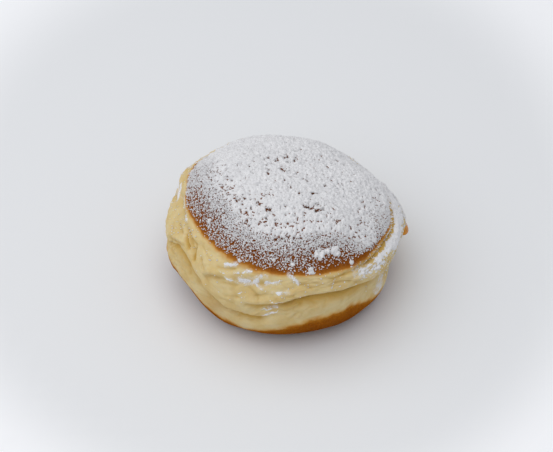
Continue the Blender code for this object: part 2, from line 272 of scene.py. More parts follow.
def round_table(azimuth, column):
    """A column of the table at each azimuth: straight lines between its rows, then an average
    over a few degrees with bell-shaped weights."""
    degrees = np.arange(360.0)
    rows = np.array(WAIST)
    plain = np.interp(degrees, rows[:, 0], rows[:, column], period=360.0)
    shifts = np.arange(-SMOOTH_REACH, SMOOTH_REACH + 1)
    weights = hill(shifts / SMOOTH_WIDTH)
    smooth = sum(weight * np.roll(plain, shift) for shift, weight in zip(shifts, weights))
    return np.interp(np.degrees(azimuth), degrees, smooth / weights.sum(), period=360.0)


def follow_waist(azimuth, height):
    """Slides a height so that the middle row lands on the waist, less and less to both sides."""
    tent = np.clip(1.0 - np.abs(height - WAIST_MIDDLE) / WAIST_SPAN, 0.0, 1.0)
    return height + tent * (round_table(azimuth, 1) - WAIST_MIDDLE)


def waist_moves(azimuth, height):
    """How far the waist moves the skin outwards and down. Above the fold a narrow bell takes it
    in and a second one, higher up, puts it out. Below, a bell and a wide bell take it in."""
    above = height - round_table(azimuth, 1)
    depth, lip = round_table(azimuth, 2), round_table(azimuth, 3)
    narrow, wide = valley(above / WAIST_BELOW), hill(above / WAIST_ROLL)
    below = (1.0 - WAIST_ROLL_SHARE) * narrow + WAIST_ROLL_SHARE * wide
    notch = np.where(above > 0, valley(above / WAIST_ABOVE), below)
    out = lip * hill((above - LIP_ABOVE) / LIP_TALL) - depth * notch
    down = np.where(above > 0, WAIST_DROP * depth * hill((above - DROP_ABOVE) / DROP_TALL), 0.0)
    return out, down * smooth_step(above, 0.0, 0.5)


# %% [markdown]
# ## Smaller folds
#
# The rest of the folds are short. Each is an arc drawn on the unrolled side of the bun, and the
# skin sinks along it. The first list is in the solid model too. The second holds thin creases
# and pleats that only show from close by.

# %% Arcs of the smaller folds
# Start and end as (azimuth, height), bow to the left, depth, reach above, reach below, lip
FOLDS = (
    ((233, 17.8), (265, 17.8), -2.4, 1.7, 1.1, 1.7, 0.7),
    ((249, 21.4), (276, 25.8), -0.5, 1.6, 1.0, 1.6, 0.6),
    ((200, 31.6), (220, 28.2), 0.6, 1.2, 1.1, 1.3, 0.5),
    ((168, 28.6), (204, 31.4), 0.8, 0.9, 1.3, 1.5, 0.4),
    ((227, 23.6), (243, 27.9), 1.2, 1.1, 1.1, 1.3, 0.5),
    ((241, 29.2), (266, 31.4), -0.8, 0.9, 1.2, 1.3, 0.4),
    ((270, 32.4), (291, 29.8), -0.6, 0.8, 1.2, 1.3, 0.4),
    ((286, 31.4), (312, 26.8), 0.7, 0.8, 1.0, 1.3, 0.4),
    ((300, 32.2), (345, 34.3), 0.8, 1.5, 1.2, 1.7, 0.3),
    ((335, 34.2), (404, 32.6), 0.6, 1.8, 1.2, 1.8, 0.3),
    ((313, 19.6), (330, 25.6), -0.8, 1.2, 1.2, 1.4, 0.4),
    ((330, 28.0), (362, 25.6), -1.0, 0.7, 1.2, 1.6, 0.3),
    ((20, 26.4), (62, 28.8), 1.2, 1.0, 1.2, 1.6, 0.4),
    ((56, 15.6), (96, 16.8), -2.0, 0.9, 1.2, 1.7, 0.3),
    ((84, 30.6), (128, 28.8), -1.4, 1.1, 1.2, 1.6, 0.4),
    ((118, 22.0), (140, 29.4), 1.0, 0.9, 1.2, 1.4, 0.3),
    ((130, 26.8), (176, 25.8), 1.2, 1.2, 1.2, 1.7, 0.4),
    ((142, 29.6), (172, 31.4), 0.9, 0.8, 1.2, 1.4, 0.3),
)
CREASES = (
    ((204, 30.4), (215, 28.2), -0.3, 1.50, 0.5, 0.7, 0.35),
    ((209, 30.6), (219, 30.6), 0.4, 0.70, 0.5, 0.5, 0.25),
    ((217, 31.0), (221, 26.6), -0.3, 1.50, 0.5, 0.7, 0.30),
    ((279, 22.6), (272, 16.0), 0.4, 0.35, 0.6, 1.0, 0.08),
    ((186, 19.6), (212, 28.2), 0.7, 0.60, 0.5, 0.8, 0.15),
    ((196, 24.4), (214, 25.6), -0.6, 0.60, 0.6, 0.8, 0.15),
    ((286, 31.9), (324, 32.4), 0.5, 0.80, 0.5, 0.7, 0.30),
    ((304, 31.6), (342, 33.2), 0.5, 1.20, 0.5, 0.7, 0.35),
    ((328, 33.0), (376, 33.2), 0.2, 1.30, 0.5, 0.7, 0.35),
    ((362, 33.2), (414, 33.0), 0.2, 1.10, 0.5, 0.7, 0.30),
    ((228, 24.6), (243, 27.6), 1.3, 0.60, 0.5, 0.6, 0.20),
    ((276, 33.0), (304, 28.6), -0.6, 0.40, 0.5, 0.6, 0.10),
    ((268, 26.2), (300, 27.4), 0.9, 0.50, 0.4, 0.5, 0.15),
    ((300, 26.4), (322, 24.2), 0.5, 0.45, 0.4, 0.5, 0.12),
    ((312, 25.6), (334, 28.6), -0.5, 0.55, 0.5, 0.6, 0.12),
    ((249, 28.2), (259, 22.6), 1.8, 0.60, 0.6, 0.7, 0.15),
    ((243, 14.6), (262, 15.6), -1.2, 0.50, 0.6, 0.8, 0.12),
    ((264, 21.8), (279, 23.6), -1.8, 0.55, 0.6, 0.9, 0.15),
    ((261, 26.4), (276, 29.4), -0.8, 0.50, 0.6, 0.8, 0.12),
    ((254, 25.0), (266, 27.6), 0.5, 0.40, 0.5, 0.6, 0.10),
    ((276, 31.4), (287, 29.2), -0.5, 0.50, 0.5, 0.7, 0.12),
    ((289, 30.0), (303, 29.4), 0.6, 0.50, 0.5, 0.7, 0.12),
    ((232, 30.2), (246, 32.6), -0.5, 0.60, 0.5, 0.8, 0.15),
    ((236, 25.6), (249, 27.6), 0.6, 0.60, 0.6, 0.8, 0.15),
    ((230, 26.6), (222, 30.2), 0.4, 0.55, 0.6, 0.6, 0.12),
    ((240, 21.4), (250, 24.0), 0.8, 0.45, 0.6, 0.7, 0.10),
    ((237, 19.8), (248, 20.4), 0.9, 0.45, 0.6, 0.7, 0.10),
    ((222, 19.0), (234, 14.2), 0.8, 0.45, 0.6, 0.9, 0.08),
    ((206, 21.0), (222, 19.4), 1.0, 0.45, 0.6, 0.8, 0.08),
    ((212, 32.0), (228, 32.6), -0.6, 0.40, 0.6, 0.7, 0.10),
    ((306, 29.8), (330, 28.4), 0.8, 0.45, 0.5, 0.7, 0.10),
    ((310, 21.0), (326, 20.2), -0.8, 0.40, 0.6, 0.8, 0.08),
    ((186, 25.4), (204, 28.4), 1.0, 0.60, 0.6, 0.9, 0.15),
    ((184, 29.6), (196, 32.4), 0.5, 0.50, 0.6, 0.8, 0.10),
    ((340, 30.4), (358, 29.2), 0.6, 0.40, 0.6, 0.8, 0.10),
    ((28, 30.6), (52, 31.4), 0.6, 0.50, 0.6, 0.8, 0.12),
    ((66, 27.4), (86, 28.0), -0.8, 0.50, 0.6, 0.8, 0.12),
    ((96, 19.6), (118, 18.0), 1.0, 0.50, 0.6, 0.8, 0.10),
    ((150, 22.0), (170, 22.6), 1.0, 0.50, 0.6, 0.8, 0.12),
)

# %% How an arc moves the skin
FOLD_STEPS = 12
FOLD_END = 0.25
FOLD_REACH = 4.0
FOLD_LIP_AWAY, FOLD_LIP_WIDE = 1.9, 1.1


def fold_line(start, end, bow):
    """An arc's points: the straight line between its ends, moved sideways by 4 bow t (1 - t)."""
    start, end = (np.array((math.radians(az) * COLLAR_RADIUS, h)) for az, h in (start, end))
    along = end - start
    across = np.array((-along[1], along[0])) / np.hypot(*along)
    t = np.linspace(0.0, 1.0, FOLD_STEPS + 1)[:, None]
    return start + along * t + across * bow * 4.0 * t * (1.0 - t)


def from_arc(line, azimuth, height):
    """Signed distance from an arc, positive above it, and how far along it the nearest point is."""
    middle = math.degrees(line[:, 0].mean() / COLLAR_RADIUS)
    round_side = turned_from(azimuth, middle) * COLLAR_RADIUS + math.radians(middle) * COLLAR_RADIUS
    nearest = np.full(azimuth.shape, np.inf)
    signed = np.zeros(azimuth.shape)
    share = np.zeros(azimuth.shape)
    for step, (a, b) in enumerate(zip(line, line[1:])):
        ux, uy = b - a
        dx, dy = round_side - a[0], height - a[1]
        t = np.clip((dx * ux + dy * uy) / (ux * ux + uy * uy), 0.0, 1.0)
        distance = np.hypot(dx - t * ux, dy - t * uy)
        closer = distance < nearest
        nearest = np.where(closer, distance, nearest)
        signed = np.where(closer, np.sign(ux * dy - uy * dx) * distance, signed)
        share = np.where(closer, (step + t) / FOLD_STEPS, share)
    return signed, share


def fold_moves(folds, azimuth, height):
    """How far the folds move the skin outwards, and how deep in a fold each point lies. Across an
    arc the push is a sharp valley with a low bell above it, and both fade towards the arc's ends."""
    out = np.zeros(azimuth.shape)
    depth_here = np.zeros(azimuth.shape)
    for start, end, bow, depth, above, below, lip in folds:
        signed, share = from_arc(fold_line(start, end, bow), azimuth, height)
        fade = smooth_step(share, 0.0, FOLD_END) * smooth_step(1.0 - share, 0.0, FOLD_END)
        fade = np.where(np.abs(signed) < FOLD_REACH * (above + below), fade, 0.0)
        notch = fade * depth * valley(signed / np.where(signed > 0, above, below))
        out += fade * lip * hill((signed - FOLD_LIP_AWAY * above) / (FOLD_LIP_WIDE * above)) - notch
        depth_here = np.maximum(depth_here, notch)
    return out, depth_here


# %% [markdown]
# ## Wrinkles and pits
#
# Close up, the pale collar looks like soft crumpled skin, and the crust has a few small pits
# where bubbles burst in the fat. Both come from a noise: a function that is smooth from point to
# point but never repeats. The size of a noise is the width of one of its bumps.

# %% Noise
def noise(points, size, seed):
    """Gradient noise, about -1 to 1. Space is cut into cubes, each corner of a cube has a random
    arrow, and a point blends how far it lies along the arrows of the eight corners round it."""
    draw = np.random.default_rng(seed)
    arrows = draw.normal(size=(4096, 3))
    arrows /= np.linalg.norm(arrows, axis=1)[:, None]
    place = points / size
    corner = np.floor(place).astype(np.int64)
    inside = place - corner
    blend = inside**3 * (inside * (inside * 6.0 - 15.0) + 10.0)
    total = np.zeros(points.shape[:-1])
    for offset in np.ndindex(2, 2, 2):
        at = corner + np.array(offset)
        key = (at[..., 0] * 73856093 ^ at[..., 1] * 19349663 ^ at[..., 2] * 83492791) % 4096
        weight = np.prod(np.where(offset, blend, 1.0 - blend), axis=-1)
        total += weight * np.einsum("...i,...i", inside - offset, arrows[key])
    return 1.7 * total


# %% Pits in the crust
# Azimuth, distance from the axis, depth and radius of the crust's pits that can be told apart
PITS = (
    (100, 11.7, 0.35, 0.5),
    (95, 10.7, 0.4, 0.6),
    (90, 11.7, 0.35, 0.5),
    (129, 3.1, 0.45, 0.55),
    (179, 7.3, 0.35, 0.5),
    (17, 3.1, 0.4, 0.55),
    (244, 3.1, 0.35, 0.5),
    (114, 9.3, 0.3, 0.5),
    (110, 14.6, 0.25, 0.45),
    (102, 15.8, 0.25, 0.4),
    (125, 12.5, 0.25, 0.45),
    (91, 7.3, 0.3, 0.45),
    (121, 9.3, 0.25, 0.4),
    (146, 9.3, 0.3, 0.5),
    (74, 9.3, 0.3, 0.5),
    (85, 14.6, 0.25, 0.4),
    (79, 16.9, 0.25, 0.45),
    (340, 7.3, 0.35, 0.5),
    (276, 7.3, 0.3, 0.5),
    (345, 13.9, 0.25, 0.4),
    (292, 10.7, 0.25, 0.45),
    (312, 12.5, 0.35, 0.5),
    (316, 12.8, 0.35, 0.5),
    (318, 13.9, 0.3, 0.5),
    (234, 18.9, 0.35, 0.45),
    (238, 19.4, 0.35, 0.45),
    (221, 20.7, 0.35, 0.5),
    (248, 19.8, 0.35, 0.5),
    (251, 19.9, 0.35, 0.5),
    (266, 16.9, 0.35, 0.5),
    (262, 18.4, 0.25, 0.45),
    (251, 23.4, 0.3, 0.5),
    (234, 22.3, 0.3, 0.5),
    (224, 23.0, 0.3, 0.45),
    (216, 23.4, 0.35, 0.5),
    (276, 20.7, 0.25, 0.5),
    (289, 16.9, 0.45, 0.52),
    (291, 17.4, 0.4, 0.5),
    (293, 17.9, 0.45, 0.55),
    (296, 18.6, 0.4, 0.5),
    (299, 19.9, 0.5, 0.58),
    (303, 20.0, 0.4, 0.52),
    (306, 20.3, 0.4, 0.5),
    (305, 17.6, 0.35, 0.5),
    (300, 18.0, 0.3, 0.5),
    (84, 16.3, 0.3, 0.45),
    (76, 17.7, 0.25, 0.4),
    (123, 13.1, 0.3, 0.45),
    (118, 9.7, 0.3, 0.45),
    (111, 11.0, 0.3, 0.45),
    (92, 7.6, 0.3, 0.45),
    (76, 10.3, 0.3, 0.45),
    (126, 4.4, 0.4, 0.5),
    (175, 7.8, 0.3, 0.45),
    (179, 13.3, 0.3, 0.45),
    (92, 2.3, 0.3, 0.45),
    (245, 4.9, 0.3, 0.45),
    (276, 6.2, 0.25, 0.4),
    (340, 6.0, 0.25, 0.4),
    (172, 22.9, 0.3, 0.45),
    (196, 25.3, 0.3, 0.45),
    (183, 22.7, 0.35, 0.5),
    (220, 20.6, 0.3, 0.45),
    (344, 14.2, 0.3, 0.45),
    (348, 18.9, 0.3, 0.45),
    (338, 21.7, 0.3, 0.45),
    (163, 14.7, 0.3, 0.45),
    (164, 19.1, 0.3, 0.5),
    (172, 26.8, 0.35, 0.45),
    (189, 21.3, 0.3, 0.45),
    (243, 25.3, 0.25, 0.4),
    (237, 27.0, 0.25, 0.4),
    (278, 29.1, 0.35, 0.5),
    (274, 29.0, 0.35, 0.5),
    (270, 28.9, 0.35, 0.5),
    (266, 29.6, 0.35, 0.5),
    (262, 30.2, 0.35, 0.5),
    (294, 10.5, 0.25, 0.4),
    (40, 25.0, 0.4, 0.6),
    (150, 32.0, 0.3, 0.5),
)


SMALL_PITS, SMALL_PITS_REACH = 150, 33.0
PITS_DEEPER, PITS_WIDER = 1.3, 1.15


def pit_places():
    """The pits' centres on the turned bun, with depths and radii: the larger ones and a scatter
    of small ones all over the crown."""
    draw = np.random.default_rng(8)
    known_azimuth, known_out, known_depth, known_radius = np.array(PITS).T
    azimuth = np.r_[known_azimuth, draw.uniform(0.0, 360.0, SMALL_PITS)]
    out = np.r_[known_out, SMALL_PITS_REACH * np.sqrt(draw.uniform(0.0, 1.0, SMALL_PITS))]
    depth = np.r_[PITS_DEEPER * known_depth, draw.uniform(0.15, 0.36, SMALL_PITS)]
    radius = np.r_[PITS_WIDER * known_radius, draw.uniform(0.25, 0.46, SMALL_PITS)]
    dome = OUTLINE[OUTLINE[:, 1] > CRUST_HEIGHT][::-1]
    height = np.interp(out, dome[:, 0], dome[:, 1])
    turn = np.radians(azimuth)
    return np.stack([out * np.cos(turn), out * np.sin(turn), height], axis=-1), depth, radius


PIT_CENTRES, PIT_DEPTHS, PIT_RADII = pit_places()


def pits(plain):
    """How deep the pits are at each place of the turned bun: every pit is a bell round its centre,
    made ragged by a noise that shifts the place."""
    total = np.zeros(plain.shape[:-1])
    shift = np.stack([noise(plain, 0.8, seed) for seed in (17, 18, 19)], axis=-1)
    plain = plain + 0.60 * shift
    for centre, depth, radius in zip(PIT_CENTRES, PIT_DEPTHS, PIT_RADII):
        total += depth * hill(np.linalg.norm(plain - centre, axis=-1) / radius)
    return total


# %% Wrinkles
def wrinkles(plain, height):
    """Puffs with sharp valleys between them: the size of a noise, which is bent to zero along
    lines, taken with its steep sides. It is squeezed upright, so that the valleys run round. The
    lower roll also has fine upright lines, where the skin was drawn in to the fold."""
    squeezed = plain * np.array((1.0, 1.0, 2.6))
    shift = np.stack([noise(squeezed, 9.0, seed) for seed in (21, 22, 23)], axis=-1)
    bent = squeezed + 2.2 * shift
    broad = np.sqrt(noise(bent, 8.0, 24) ** 2 + 0.004) - 0.25
    narrow = np.sqrt(noise(bent, 3.6, 25) ** 2 + 0.006) - 0.25
    on_collar = smooth_step(height, 9.0, 16.0) * (1.0 - smooth_step(height, 32.0, 35.0))
    patchy = 0.55 + 0.45 * smooth_step(noise(plain, 14.0, 26), -0.4, 0.5)
    skin = (1.05 * broad + 0.62 * narrow) * on_collar * patchy
    drawn = noise(plain * np.array((1.0, 1.0, 0.22)), 1.7, 28)
    below_waist = smooth_step(height, 12.0, 15.0) * (1.0 - smooth_step(height, 22.0, 25.0))
    skin += 0.12 * drawn * below_waist * smooth_step(noise(plain, 11.0, 29), -0.2, 0.3)
    return skin + 0.07 * noise(plain, 4.2, 27) * smooth_step(height, 2.0, 8.0)


# %% [markdown]
# ## One function for the whole skin
#
# Everything above is added up in one function of two parameters: the azimuth round the bun and
# the distance along its outline. The dough, the sugar and the grains all ask it where the skin
# is, so they fit each other without any measuring.

# %% Where the skin of the bun is
# How much the creases and the wrinkles' valleys count towards a point's fold depth, which the dough's
# finish paints as shade
CREASE_SHADE, WRINKLE_SHADE = 1.8, 2.0
FULL_FOLD_DEPTH = 2.2
LEAST_PIT = 0.1


def skin(azimuth, way):
    """The point of the skin at an azimuth and a distance along the outline, its height on the
    plain bun, and how deep in a fold it lies, from 0 to 1, or below 0 in a pit."""
    radius, row_height, out_share, up_share = on_outline(way)
    beside = (row_height > 1.0) & (row_height < CRUST_HEIGHT + 1.0)
    height = np.where(beside, follow_waist(azimuth, row_height), row_height)
    plain = np.stack([radius * np.cos(azimuth), radius * np.sin(azimuth), row_height], axis=-1)
    radius = np.where(beside, np.interp(height, OUTLINE[:, 1], OUTLINE[:, 0]), radius)

    crust = smooth_step(height, WAIST_HEIGHT, CRUST_HEIGHT)
    waist_out, down = waist_moves(azimuth, height)
    fold_out, fold_depth = fold_moves(FOLDS, azimuth, height)
    crease_out, crease_depth = fold_moves(CREASES, azimuth, height)
    out = lumps(plain) * smooth_step(row_height, 1.0, 9.0) + bulges(azimuth, height)
    pit_depth = pits(plain)
    skin_out = wrinkles(plain, height)
    out += waist_out + fold_out + crease_out + skin_out - pit_depth

    radius = radius * uneven_plan(azimuth, crust) + out * out_share
    x = radius * np.cos(azimuth) + crust * CRUST_SHIFT[0]
    y = radius * np.sin(azimuth) + crust * CRUST_SHIFT[1]
    z = height + out * np.where(height > 1.0, up_share, 0.0) - down
    lean = np.clip(height / CRUST_HEIGHT, 0.0, 1.0) ** 1.5
    z += lean * (CRUST_LEAN[0] * x + CRUST_LEAN[1] * y)
    deep = np.maximum(-waist_out, np.maximum(fold_depth, crease_depth * CREASE_SHADE))
    deep = deep - WRINKLE_SHADE * np.minimum(skin_out, 0.0)
    hollow = np.where(pit_depth > LEAST_PIT, -pit_depth, np.clip(deep / FULL_FOLD_DEPTH, 0.0, 1.0))
    return np.stack([x, y, z], axis=-1), height, hollow


# %% [markdown]
# ## From a grid to a mesh
#
# A grid of points becomes a mesh when each cell gets a face. Round a closed shape the last column
# joins the first, and a ring of triangles round one point closes a pole. The faces are named
# counter-clockwise as seen from outside, which makes them face outwards.

# %% Mesh helpers
MM = 0.001
pieces_made = bpy.data.collections.new("doughnut looks")
bpy.context.scene.collection.children.link(pieces_made)


def grid_faces(rows, columns, joined):
    """Four corners for each cell of a grid whose points are numbered row by row."""
    last = columns if joined else columns - 1
    row, column = np.meshgrid(np.arange(rows - 1), np.arange(last), indexing="ij")
    right = (column + 1) % columns
    this_row, next_row = row * columns, (row + 1) * columns
    corners = (this_row + column, this_row + right, next_row + right, next_row + column)
    return np.stack(corners, axis=-1).reshape(-1, 4)


def fill_mesh(mesh, points, quads, triangles):
    """Puts millimetre points, four-cornered and three-cornered faces into a mesh, shaded smooth."""
    mesh.vertices.add(len(points))
    mesh.vertices.foreach_set("co", (points * MM).astype(np.float32).ravel())
    corners = np.r_[quads.ravel(), triangles.ravel()].astype(np.int32)
    mesh.loops.add(len(corners))
    mesh.loops.foreach_set("vertex_index", corners)
    sizes = np.r_[np.full(len(quads), 4), np.full(len(triangles), 3)].astype(np.int32)
    mesh.polygons.add(len(sizes))
    mesh.polygons.foreach_set("loop_start", np.r_[0, np.cumsum(sizes)[:-1]].astype(np.int32))
    mesh.polygons.foreach_set("loop_total", sizes)
    mesh.polygons.foreach_set("use_smooth", np.ones(len(sizes), bool))
    mesh.update(calc_edges=True)
    mesh.validate()


def add_piece(name, points, quads, triangles=np.zeros((0, 3), int), material=None):
    """Makes an object at the origin from points and faces, and says how many triangles it has."""
    mesh = bpy.data.meshes.new(name)
    fill_mesh(mesh, points, quads, triangles)
    if material:
        mesh.materials.append(material)
    obj = bpy.data.objects.new(name, mesh)
    pieces_made.objects.link(obj)
    print(name, "has", 2 * len(quads) + len(triangles), "triangles")
    return obj


def store(obj, name, values):
    """Keeps one number for each point of a mesh, for the material to read."""
    layer = obj.data.attributes.new(name, "FLOAT", "POINT")
    layer.data.foreach_set("value", np.ascontiguousarray(values, np.float32).ravel())


# %% [markdown]
# ## Nodes by hand
#
# A finish is a small tree of nodes. This helper makes a node, sets its options and joins its
# sockets, so that a tree reads like a recipe. Patterns read object coordinates, which are metres
# here, so a noise of scale 1000 has bumps about a millimetre wide.

# %% Material helpers
def new_finish(name):
    """An empty Principled finish: its tree, its shader and its object coordinates."""
    material = bpy.data.materials.new(name)
    material.use_nodes = True
    tree = material.node_tree
    place = tree.nodes.new("ShaderNodeTexCoord").outputs["Object"]
    return material, tree, tree.nodes["Principled BSDF"], place


def node(tree, kind, sockets=None, **options):
    """A new node with its options set, and each named socket joined or given its value."""
    made = tree.nodes.new(kind)
    for name, value in options.items():
        setattr(made, name, value)
    for name, value in (sockets or {}).items():
        if isinstance(value, bpy.types.NodeSocket):
            tree.links.new(value, made.inputs[name])
        else:
            made.inputs[name].default_value = value
    return made


def speckle(tree, place, scale, detail=2.0, roughness=0.5, squeeze=(1.0, 1.0, 1.0)):
    """The value of a noise, 0 to 1, with its three directions squeezed by the given factors."""
    turned = node(tree, "ShaderNodeMapping", {"Vector": place, "Scale": squeeze}).outputs["Vector"]
    sockets = {"Vector": turned, "Scale": scale, "Detail": detail, "Roughness": roughness}
    return node(tree, "ShaderNodeTexNoise", sockets).outputs["Fac"]


def math_node(tree, operation, first, second=0.0, clamp=False):
    """One sum of two numbers or sockets."""
    made = node(tree, "ShaderNodeMath", {0: first, 1: second}, operation=operation, use_clamp=clamp)
    return made.outputs[0]


def slope(tree, value, low, high, to_low=0.0, to_high=1.0):
    """Brings a value from one range to another along a soft step."""
    sockets = {"Value": value, "From Min": low, "From Max": high, "To Min": to_low, "To Max": to_high}
    return node(tree, "ShaderNodeMapRange", sockets, interpolation_type="SMOOTHSTEP").outputs["Result"]


def blend(tree, share, low, high):
    """Mixes two colours, each a socket or (red, green, blue), by a share from 0 to 1."""
    made = node(tree, "ShaderNodeMix", {"Factor": share}, data_type="RGBA")
    for index, colour in ((6, low), (7, high)):
        if isinstance(colour, bpy.types.NodeSocket):
            tree.links.new(colour, made.inputs[index])
        else:
            made.inputs[index].default_value = (*colour, 1.0)
    return made.outputs[2]


def stops(tree, value, colours):
    """A colour ramp: pairs of a place from 0 to 1 and a colour."""
    ramp = node(tree, "ShaderNodeValToRGB", {"Fac": value})
    elements = ramp.color_ramp.elements
    while len(elements) < len(colours):
        elements.new(0.5)
    for element, (place, colour) in zip(elements, colours):
        element.position = place
        element.color = (*colour, 1.0)
    return ramp.outputs["Color"]


def number(tree, name):
    """Reads a number that was stored with the mesh."""
    return node(tree, "ShaderNodeAttribute", attribute_name=name).outputs["Fac"]


# %% [markdown]
# ## The finish of the dough
#
# The top and the bottom are fried to a red-brown. At their edges the brown goes through orange
# and gold into the pale collar, over only a millimetre or two. So the mesh stores how far inside
# each crust a point is, in millimetres, and a colour ramp turns that distance into a colour. A
# noise makes the edge wander, and finer ones give the crust its grain. Specks and smears of sugar
# too thin to be a layer are painted last. The folds are painted a darker gold and the pits a dark
# brown-grey, as painted shade. Fresh dough lets a little light through, which softens its folds.

# %% Dough finish
dough, tree, shader, place = new_finish("fried dough")
top_in = number(tree, "top_in")
bottom_in = number(tree, "bottom_in")
# How deep in a fold a point lies, below 0 in a pit: it sets the painted shade in folds and pits
fold = number(tree, "fold")
stain = number(tree, "stain")
dust = number(tree, "dust")
wash = number(tree, "wash")

wander = speckle(tree, place, 260.0, 2.0)
mottle = speckle(tree, place, 160.0, 4.0, 0.6)
fine = speckle(tree, place, 1500.0, 3.0, 0.6)
flecks = speckle(tree, place, 2700.0, 1.5, 0.5)
grain = speckle(tree, place, 3400.0, 2.0, 0.6)

pale = blend(tree, slope(tree, mottle, 0.35, 0.68), (0.625, 0.465, 0.205), (0.670, 0.542, 0.290))
# Painted shade: the deeper in a fold, the darker gold the collar is painted
pale = blend(tree, slope(tree, fold, 0.10, 0.85), pale, (0.52, 0.325, 0.078))
pale = blend(tree, stain, pale, (0.45, 0.265, 0.10))

mottled = slope(tree, mottle, 0.45, 0.75, 0.0, 0.4)
TOP_RAMP_MM, BOTTOM_RAMP_MM = 12.0, 10.0
top_edge = math_node(tree, "ADD", top_in, slope(tree, wander, 0.3, 0.7, -0.35, 0.35))
top_place = math_node(tree, "DIVIDE", top_edge, TOP_RAMP_MM, clamp=True)
top_brown = stops(
    tree,
    top_place,
    (
        (0.0, (0.56, 0.28, 0.060)),
        (0.05, (0.39, 0.145, 0.018)),
        (0.14, (0.27, 0.080, 0.009)),
        (0.30, (0.20, 0.054, 0.008)),
        (1.0, (0.15, 0.042, 0.011)),
    ),
)
top_brown = blend(tree, mottled, top_brown, (0.26, 0.078, 0.010))
colour = blend(tree, slope(tree, top_edge, -1.3, 0.5), pale, top_brown)

bottom_edge = math_node(tree, "ADD", bottom_in, slope(tree, wander, 0.3, 0.7, -0.6, 0.6))
bottom_place = math_node(tree, "DIVIDE", bottom_edge, BOTTOM_RAMP_MM, clamp=True)
bottom_brown = stops(
    tree,
    bottom_place,
    (
        (0.0, (0.58, 0.30, 0.055)),
        (0.10, (0.43, 0.160, 0.014)),
        (0.26, (0.31, 0.090, 0.005)),
        (1.0, (0.20, 0.052, 0.004)),
    ),
)
bottom_brown = blend(tree, mottled, bottom_brown, (0.40, 0.140, 0.010))
colour = blend(tree, slope(tree, bottom_edge, -1.5, 0.9), colour, bottom_brown)
fried = math_node(tree, "MAXIMUM", slope(tree, top_in, 0.0, 1.5), slope(tree, bottom_in, 0.0, 1.5))
grainy = math_node(tree, "MULTIPLY", fried, slope(tree, fine, 0.40, 0.66, 0.0, 0.42))
colour = blend(tree, grainy, colour, (0.13, 0.036, 0.006))
light_grain = math_node(tree, "MULTIPLY", fried, slope(tree, grain, 0.60, 0.70, 0.0, 0.35))
colour = blend(tree, light_grain, colour, (0.56, 0.30, 0.12))
# Painted shade: the pits in the crust are painted a dark brown-grey
colour = blend(tree, slope(tree, fold, -0.1, -0.45, 0.0, 0.9), colour, (0.115, 0.060, 0.042))

fallen = math_node(tree, "MULTIPLY", dust, 0.11)
white_share = slope(tree, math_node(tree, "ADD", flecks, fallen), 0.70, 0.76, 0.0, 0.9)
white_share = math_node(tree, "MULTIPLY", white_share, slope(tree, dust, 0.0, 0.12))
SUGAR_SPECK = (0.72, 0.71, 0.72)
colour = blend(tree, white_share, colour, SUGAR_SPECK)
smeared = math_node(tree, "MULTIPLY", wash, slope(tree, flecks, 0.3, 0.7, 0.5, 1.3))
colour = blend(tree, slope(tree, smeared, 0.08, 0.9, 0.0, 0.8), colour, SUGAR_SPECK)
tree.links.new(colour, shader.inputs["Base Color"])

browned = math_node(tree, "MAXIMUM", slope(tree, top_in, -0.5, 1.5), slope(tree, bottom_in, -0.5, 1.5))
tree.links.new(slope(tree, browned, 0.0, 1.0, 0.64, 0.44), shader.inputs["Roughness"])
tree.links.new(slope(tree, browned, 0.0, 1.0, 0.15, 0.0), shader.inputs["Specular IOR Level"])
shader.inputs["Subsurface Weight"].default_value = 0.2
shader.inputs["Subsurface Radius"].default_value = (1.0, 0.62, 0.30)
shader.inputs["Subsurface Scale"].default_value = 0.0015

relief = math_node(tree, "MULTIPLY", fine, 0.5)
stretched = speckle(tree, place, 520.0, 3.0, 0.55, (1.0, 1.0, 0.35))
relief = math_node(tree, "ADD", relief, math_node(tree, "MULTIPLY", stretched, 0.8))
relief = math_node(tree, "ADD", relief, math_node(tree, "MULTIPLY", grain, 0.18))
bump = node(tree, "ShaderNodeBump", {"Height": relief, "Strength": 0.75, "Distance": 0.0005})
tree.links.new(bump.outputs["Normal"], shader.inputs["Normal"])

# %% [markdown]
# ## The dough
#
# The dough's mesh is one closed grid. Its rows lie close together on the collar, where the folds
# are, and further apart on the dome. The foot is flat, as the bun settles on it.

# %% The dough's grid
AROUND = 520
FOOT_POLE_GAP, DOME_POLE_GAP = 6.0, 0.4
COLLAR_BELOW, COLLAR_ABOVE = way_at(11.0), way_at(36.0)
rows = np.r_[
    np.linspace(FOOT_POLE_GAP, FOOT_EDGE, 3, endpoint=False),
    np.linspace(FOOT_EDGE, COLLAR_BELOW, 20, endpoint=False),
    np.linspace(COLLAR_BELOW, COLLAR_ABOVE, 94, endpoint=False),
    np.linspace(COLLAR_ABOVE, WAY[-1] - DOME_POLE_GAP, 70),
]
azimuths = np.arange(AROUND) / AROUND * 2 * math.pi
azimuth_grid, way_grid = np.meshgrid(azimuths, rows)
dough_points, dough_height, dough_fold = skin(azimuth_grid, way_grid)

# %% Where the two crusts end
# Height of the bottom crust's upper edge round the bun
BOTTOM_EDGE = (
    (10, 8.0),
    (60, 8.0),
    (110, 9.5),
    (160, 13.0),
    (186, 15.8),
    (198, 14.8),
    (208, 13.0),
    (220, 12.0),
    (232, 10.6),
    (243, 8.8),
    (250, 7.8),
    (257, 9.6),
    (264, 11.0),
    (270, 12.6),
    (276, 13.6),
    (283, 15.8),
    (291, 16.2),
    (299, 16.5),
    (305, 16.2),
    (313, 13.6),
    (322, 11.6),
    (335, 9.2),
)

